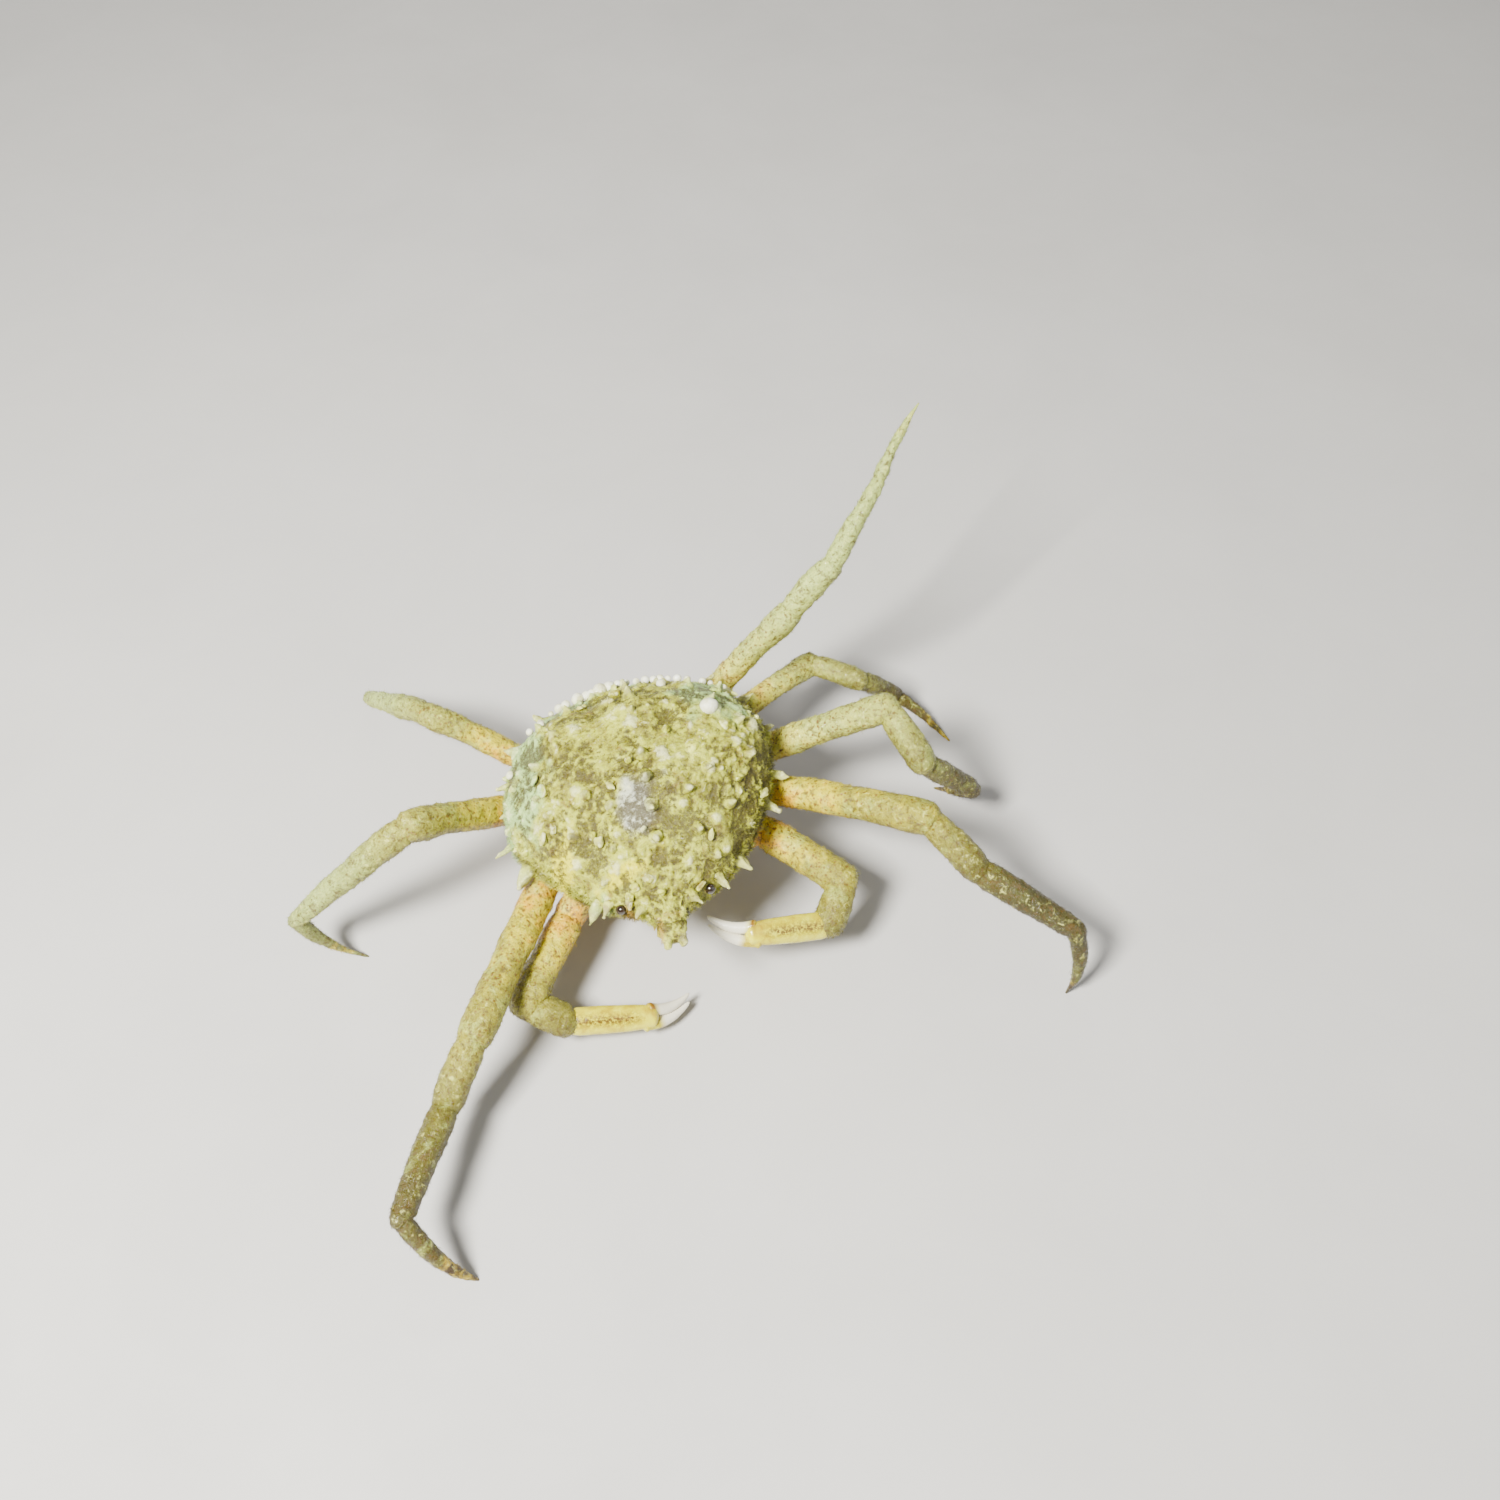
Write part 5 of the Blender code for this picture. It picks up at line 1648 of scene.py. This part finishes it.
@dataclass
class Underside:
    """Breast plates, tail flap, mouthparts, eyes and feelers."""

    breast_rings: int = 150
    breast_sides: int = 96
    flap_rings: int = 120
    flap_sides: int = 72
    mouth_rings: int = 60
    mouth_sides: int = 40
    breast_coat: Bristles = Bristles(3200, 91, (0.0, -0.3, -1.0), 0.0, 0.4, (0.04, 0.07),
                                     (0.4, 1.1))
    mouth_coat: Bristles = Bristles(900, 93, (0.0, -0.5, -0.6), 1.0, 0.3, (0.04, 0.06),
                                    (0.3, 1.0))

    def bristles(self, name: str, grid: Array, normals: Array, chance: Array,
                 kind: Bristles) -> None:
        """Covers a piece with short bristles.

        Args:
            name: The coat's name.
            grid: The piece's surface.
            normals: Its normals.
            chance: Extra chance of a bristle at each grid point.
            kind: How they stand.
        """
        i, j = scattered(grid, kind.count, kind.seed, chance).T
        count = kind.count
        dice = np.random.default_rng(kind.seed + 1)
        out = normals[i, j]
        lie = (out * [kind.sideways, 0, 0] + np.array(kind.lie)
               + dice.normal(0, kind.stray, (count, 3)))
        coat, bake = tuft_coat(
            grid[i, j], out, lie, dice.uniform(0.5, 1.3, count), dice.uniform(*kind.width, count),
            dice.uniform(*kind.lift, count), chart_of(j / grid.shape[1], i / len(grid)), {})
        coat.points = leaned(coat.points)
        add_piece(name, coat, BELLY_HAIR_FINISH, bake=bake)

    def breast(self) -> None:
        """The breast: rows of plates with grooves between them, where the legs join."""
        y = np.linspace(THORAX_ROWS[0, 0], THORAX_ROWS[-1, 0], self.breast_rings)
        _, half, under = smooth_rows(THORAX_ROWS, y).T
        top = smooth_rows(SHELL_ROWS, y)[:, 4] + 1.0
        cos, sin = np.cos(turns_of(self.breast_sides)), np.sin(turns_of(self.breast_sides))
        wide = np.sign(cos) * np.abs(cos) ** 0.7
        down = 0.5 - 0.5 * np.sign(sin) * np.abs(sin) ** 0.55
        grid = np.stack(np.broadcast_arrays(half[:, None] * wide, y[:, None],
                                            top[:, None] - (top - under)[:, None] * down), -1)
        middle = grid.mean(axis=1, keepdims=True)
        grid = middle + (grid - middle) * rounded_ends(len(y), 14, 0.02)[:, None, None]
        groove = 0.35 * np.exp(-((np.abs((y - 22.0) / 8.2 % 1.0 - 0.5) / 0.09) ** 2))
        low = np.clip(down * 2 - 0.6, 0, 1)
        push = (-groove[:, None] * low + 0.3 * cloud(grid, 6.0, 71, 3)
                + 0.25 * pebbles(grid, 1.7, 72, 0.6))
        grid = grid + grid_normals(grid) * push[..., None]
        add_piece("breast_plates", closed_tube(leaned(grid)), BELLY_FINISH,
                  ("thorax",))
        bushy = np.clip(1.2 - low, 0.15, 1)[None, :] * np.clip((-y - 5) / 20, 0.3, 1)[:, None]
        self.bristles("breast_hair", grid, grid_normals(grid), bushy, self.breast_coat)

    def flap(self) -> None:
        """The tail flap: ribbed segments with a keel, folded under the rear and the breast."""
        steps = np.linspace(0, len(FLAP_ROWS) - 1, self.flap_rings)
        y, z, half = smooth_path(FLAP_ROWS, steps).T
        way = unit(np.stack([0 * y, np.gradient(y), np.gradient(z)], -1))
        face = np.stack([0 * y, -way[:, 2], way[:, 1]], -1)
        ends = rounded_ends(len(y), 10)
        wide, thick = np.cos(turns_of(self.flap_sides)), np.sin(turns_of(self.flap_sides))
        rib = 0.22 * np.abs(np.sin(np.pi * steps)) ** 0.5
        keel = (0.5 * np.exp(-((wide / 0.16) ** 2))
                - 0.25 * np.exp(-(((np.abs(wide) - 0.4) / 0.1) ** 2)))
        outer = (0.75 + rib[:, None] + 0.35 * keel[None]) * np.clip(thick, 0, 1)[None] ** 0.6
        inner = -0.9 * np.clip(-thick, 0, 1)[None] ** 0.6
        rise = (outer + inner) * ends[:, None]
        grid = np.stack([0 * y, y, z], -1)[:, None] + face[:, None] * rise[..., None]
        grid[..., 0] = half[:, None] * ends[:, None] * wide
        add_piece("tail_flap_plates", closed_tube(leaned(grid)), BELLY_FINISH,
                  ("tail_flap",))

    def mouthpart(self, side: float, word: str) -> None:
        """A flat mouth plate in two joints, with its palp and bristles.

        Args:
            side: 1 on the left, -1 on the right.
            word: Its name.
        """
        steps = np.linspace(0, len(MOUTH_ROWS) - 1, self.mouth_rings)
        x, y, z, half = smooth_path(MOUTH_ROWS, steps).T
        ends = rounded_ends(self.mouth_rings, 6)
        turns = turns_of(self.mouth_sides)
        crease = 1 - 0.35 * np.exp(-(((steps - 2.0) / 0.12) ** 2))[:, None]
        deep = 1.7 * np.sin(turns)[None] * ends[:, None] * crease
        grid = np.stack([side * x[:, None] + (half * ends)[:, None] * np.cos(turns),
                         y[:, None] - 0.45 * deep, z[:, None] - 1.0 + 0.8 * deep], -1)
        normals = grid_normals(grid)
        grid = grid + normals * (0.16 * pebbles(grid, 1.2, 73, 0.7))[..., None]
        palp = self.whip(PALP_PATH * np.array([side, 1.0, 1.0]), PALP_RADII)
        add_piece(f"mouth_plate_{word}", joined([closed_tube(leaned(grid)), palp]),
                  BELLY_FINISH, (f"mouthpart_{word}",))
        edge = np.abs(np.cos(turns))[None, :] ** 8 + 0.25
        self.bristles(f"mouth_hair_{word}", grid, normals, edge, self.mouth_coat)

    def whip(self, path: Array, radii: Array) -> Surface:
        """A thin tube along a smooth path, its thickness read from a table.

        Args:
            path: Points of the path.
            radii: Rows of path place and radius.

        Returns:
            The surface, leaned with the body.
        """
        last = len(path) - 1
        steps = np.linspace(0, last, 15 * last)
        line = smooth_path(path, steps)
        radius = np.interp(steps, *radii.T)
        radius[[0, -1]] *= 0.4
        first, second = across(unit(np.gradient(line, axis=0)), np.array([0.3, 0.1, 1.0]))
        return closed_tube(leaned(swept(line, ring_arms(first, second, turns_of(16)), radius)))

    def eye(self, side: float, word: str) -> None:
        """A short stalk and a dark, glossy eye.

        Args:
            side: 1 on the left, -1 on the right.
            word: Its name.
        """
        mirror = np.array([side, 1.0, 1.0])
        seat, stem = EYE_SEAT * mirror, (EYE_TIP - EYE_SEAT) * mirror
        way = unit(stem)
        arms = ring_arms(*across(way, UP), turns_of(28))
        along, wide = STALK_ROWS.T
        stalk = swept(seat + along[:, None] * way, arms, wide)
        add_piece(f"eye_stalk_{word}", closed_tube(leaned(stalk)), STALK_FINISH)
        rows = np.linspace(-0.98, 0.98, 22) * np.pi / 2
        along = float(np.linalg.norm(stem)) - EYE_SUNK + EYE_RADIUS * np.sin(rows)
        ball = swept(seat + along[:, None] * way, arms, EYE_RADIUS * np.cos(rows))
        add_piece(f"eye_ball_{word}", closed_tube(leaned(ball)), EYE_FINISH,
                  (f"eye_{word}",))

    def feeler(self, side: float, word: str) -> None:
        """A feeler: thick root joints and a thin whip.

        Args:
            side: 1 on the left, -1 on the right.
            word: Its name.
        """
        whip = self.whip(FEELER_PATH * np.array([side, 1.0, 1.0]), FEELER_RADII)
        add_piece(f"feeler_whip_{word}", whip, STALK_FINISH, (f"feeler_{word}",))

    def build(self) -> None:
        """Makes all pieces."""
        self.breast()
        self.flap()
        for side, word in ((1.0, "left"), (-1.0, "right")):
            self.mouthpart(side, word)
            self.eye(side, word)
            self.feeler(side, word)


@dataclass(frozen=True)
class Lamp:
    """A square area light: place and side in metres, power in watts."""

    name: str
    place: tuple[float, float, float]
    size: float
    watts: float
    colour: Colour


LAMPS = (Lamp("key", (-0.32, -0.26, 0.60), 0.16, 22.0, (1.0, 1.0, 0.96)),
         Lamp("fill", (0.55, -0.35, 0.45), 0.7, 2.0, (0.93, 0.96, 1.0)),
         Lamp("rear", (0.1, 0.7, 0.55), 0.6, 2.0, (1.0, 0.98, 0.95)))
AIM = Vector((0.0, 0.0, 0.03))


@dataclass
class Studio:
    """A pale floor, a soft key light, two soft fills and the camera of the photograph."""

    lens: float = 36.048
    camera_place: tuple[float, float, float] = (-0.02356, -0.204, 0.333)
    back: tuple[float, float, float] = (-0.12657, -0.59546, 0.79335)
    turn: float = -12.0
    floor_reach: float = 3.0
    room: tuple[float, float, float, float] = (0.92, 0.94, 0.96, 1)
    room_light: float = 0.3

    def floor(self) -> None:
        """The floor: a large flat square, its edge far outside the view."""
        reach = self.floor_reach
        corners = [(-reach, -reach, 0), (reach, -reach, 0), (reach, reach, 0), (-reach, reach, 0)]
        mesh = bpy.data.meshes.new("pale_floor")
        mesh.from_pydata(corners, [], [(0, 1, 2, 3)])
        mesh.materials.append(finish_of(FLOOR_FINISH))
        piece = bpy.data.objects.new("pale_floor", mesh)
        bpy.context.scene.collection.objects.link(piece)

    def light(self, lamp: Lamp) -> None:
        """Hangs a lamp so that it faces the crab.

        Args:
            lamp: The lamp.
        """
        data = bpy.data.lights.new(lamp.name, "AREA")
        data.size, data.energy, data.color = lamp.size, lamp.watts, lamp.colour
        hung = bpy.data.objects.new(lamp.name, data)
        faced = (AIM - Vector(lamp.place)).to_track_quat("-Z", "Y").to_matrix().to_4x4()
        hung.matrix_world = Matrix.Translation(lamp.place) @ faced
        bpy.context.scene.collection.objects.link(hung)

    def camera(self) -> None:
        """The camera, placed and turned as in the photograph."""
        data = bpy.data.cameras.new("photo_view")
        data.sensor_width, data.lens = 36.0, self.lens
        data.clip_start, data.clip_end = 0.01, 20.0
        turn = math.radians(self.turn)
        right = Vector((math.cos(turn), math.sin(turn), 0.0))
        back = Vector(self.back).normalized()
        up = back.cross(right).normalized()
        turned = Matrix((right, up, back)).transposed().to_4x4()
        view = bpy.data.objects.new("photo_view", data)
        view.matrix_world = Matrix.Translation(self.camera_place) @ turned
        bpy.context.scene.collection.objects.link(view)
        bpy.context.scene.camera = view

    def build(self) -> None:
        """Sets the stage."""
        self.floor()
        for lamp in LAMPS:
            self.light(lamp)
        world = bpy.data.worlds.new("pale_room")
        world.use_nodes = True
        air = world.node_tree.nodes["Background"].inputs
        air["Color"].default_value = self.room
        air["Strength"].default_value = self.room_light
        bpy.context.scene.world = world
        self.camera()


def main() -> None:
    """Builds the crab and its stage."""
    logging.basicConfig(level=logging.INFO, format="%(message)s")
    Shell().build()
    Underside().build()
    for name in POSE:
        (Claw if name.startswith("claw") else Limb)(name).build()
    Studio().build()


if __name__ == "__main__":
    main()
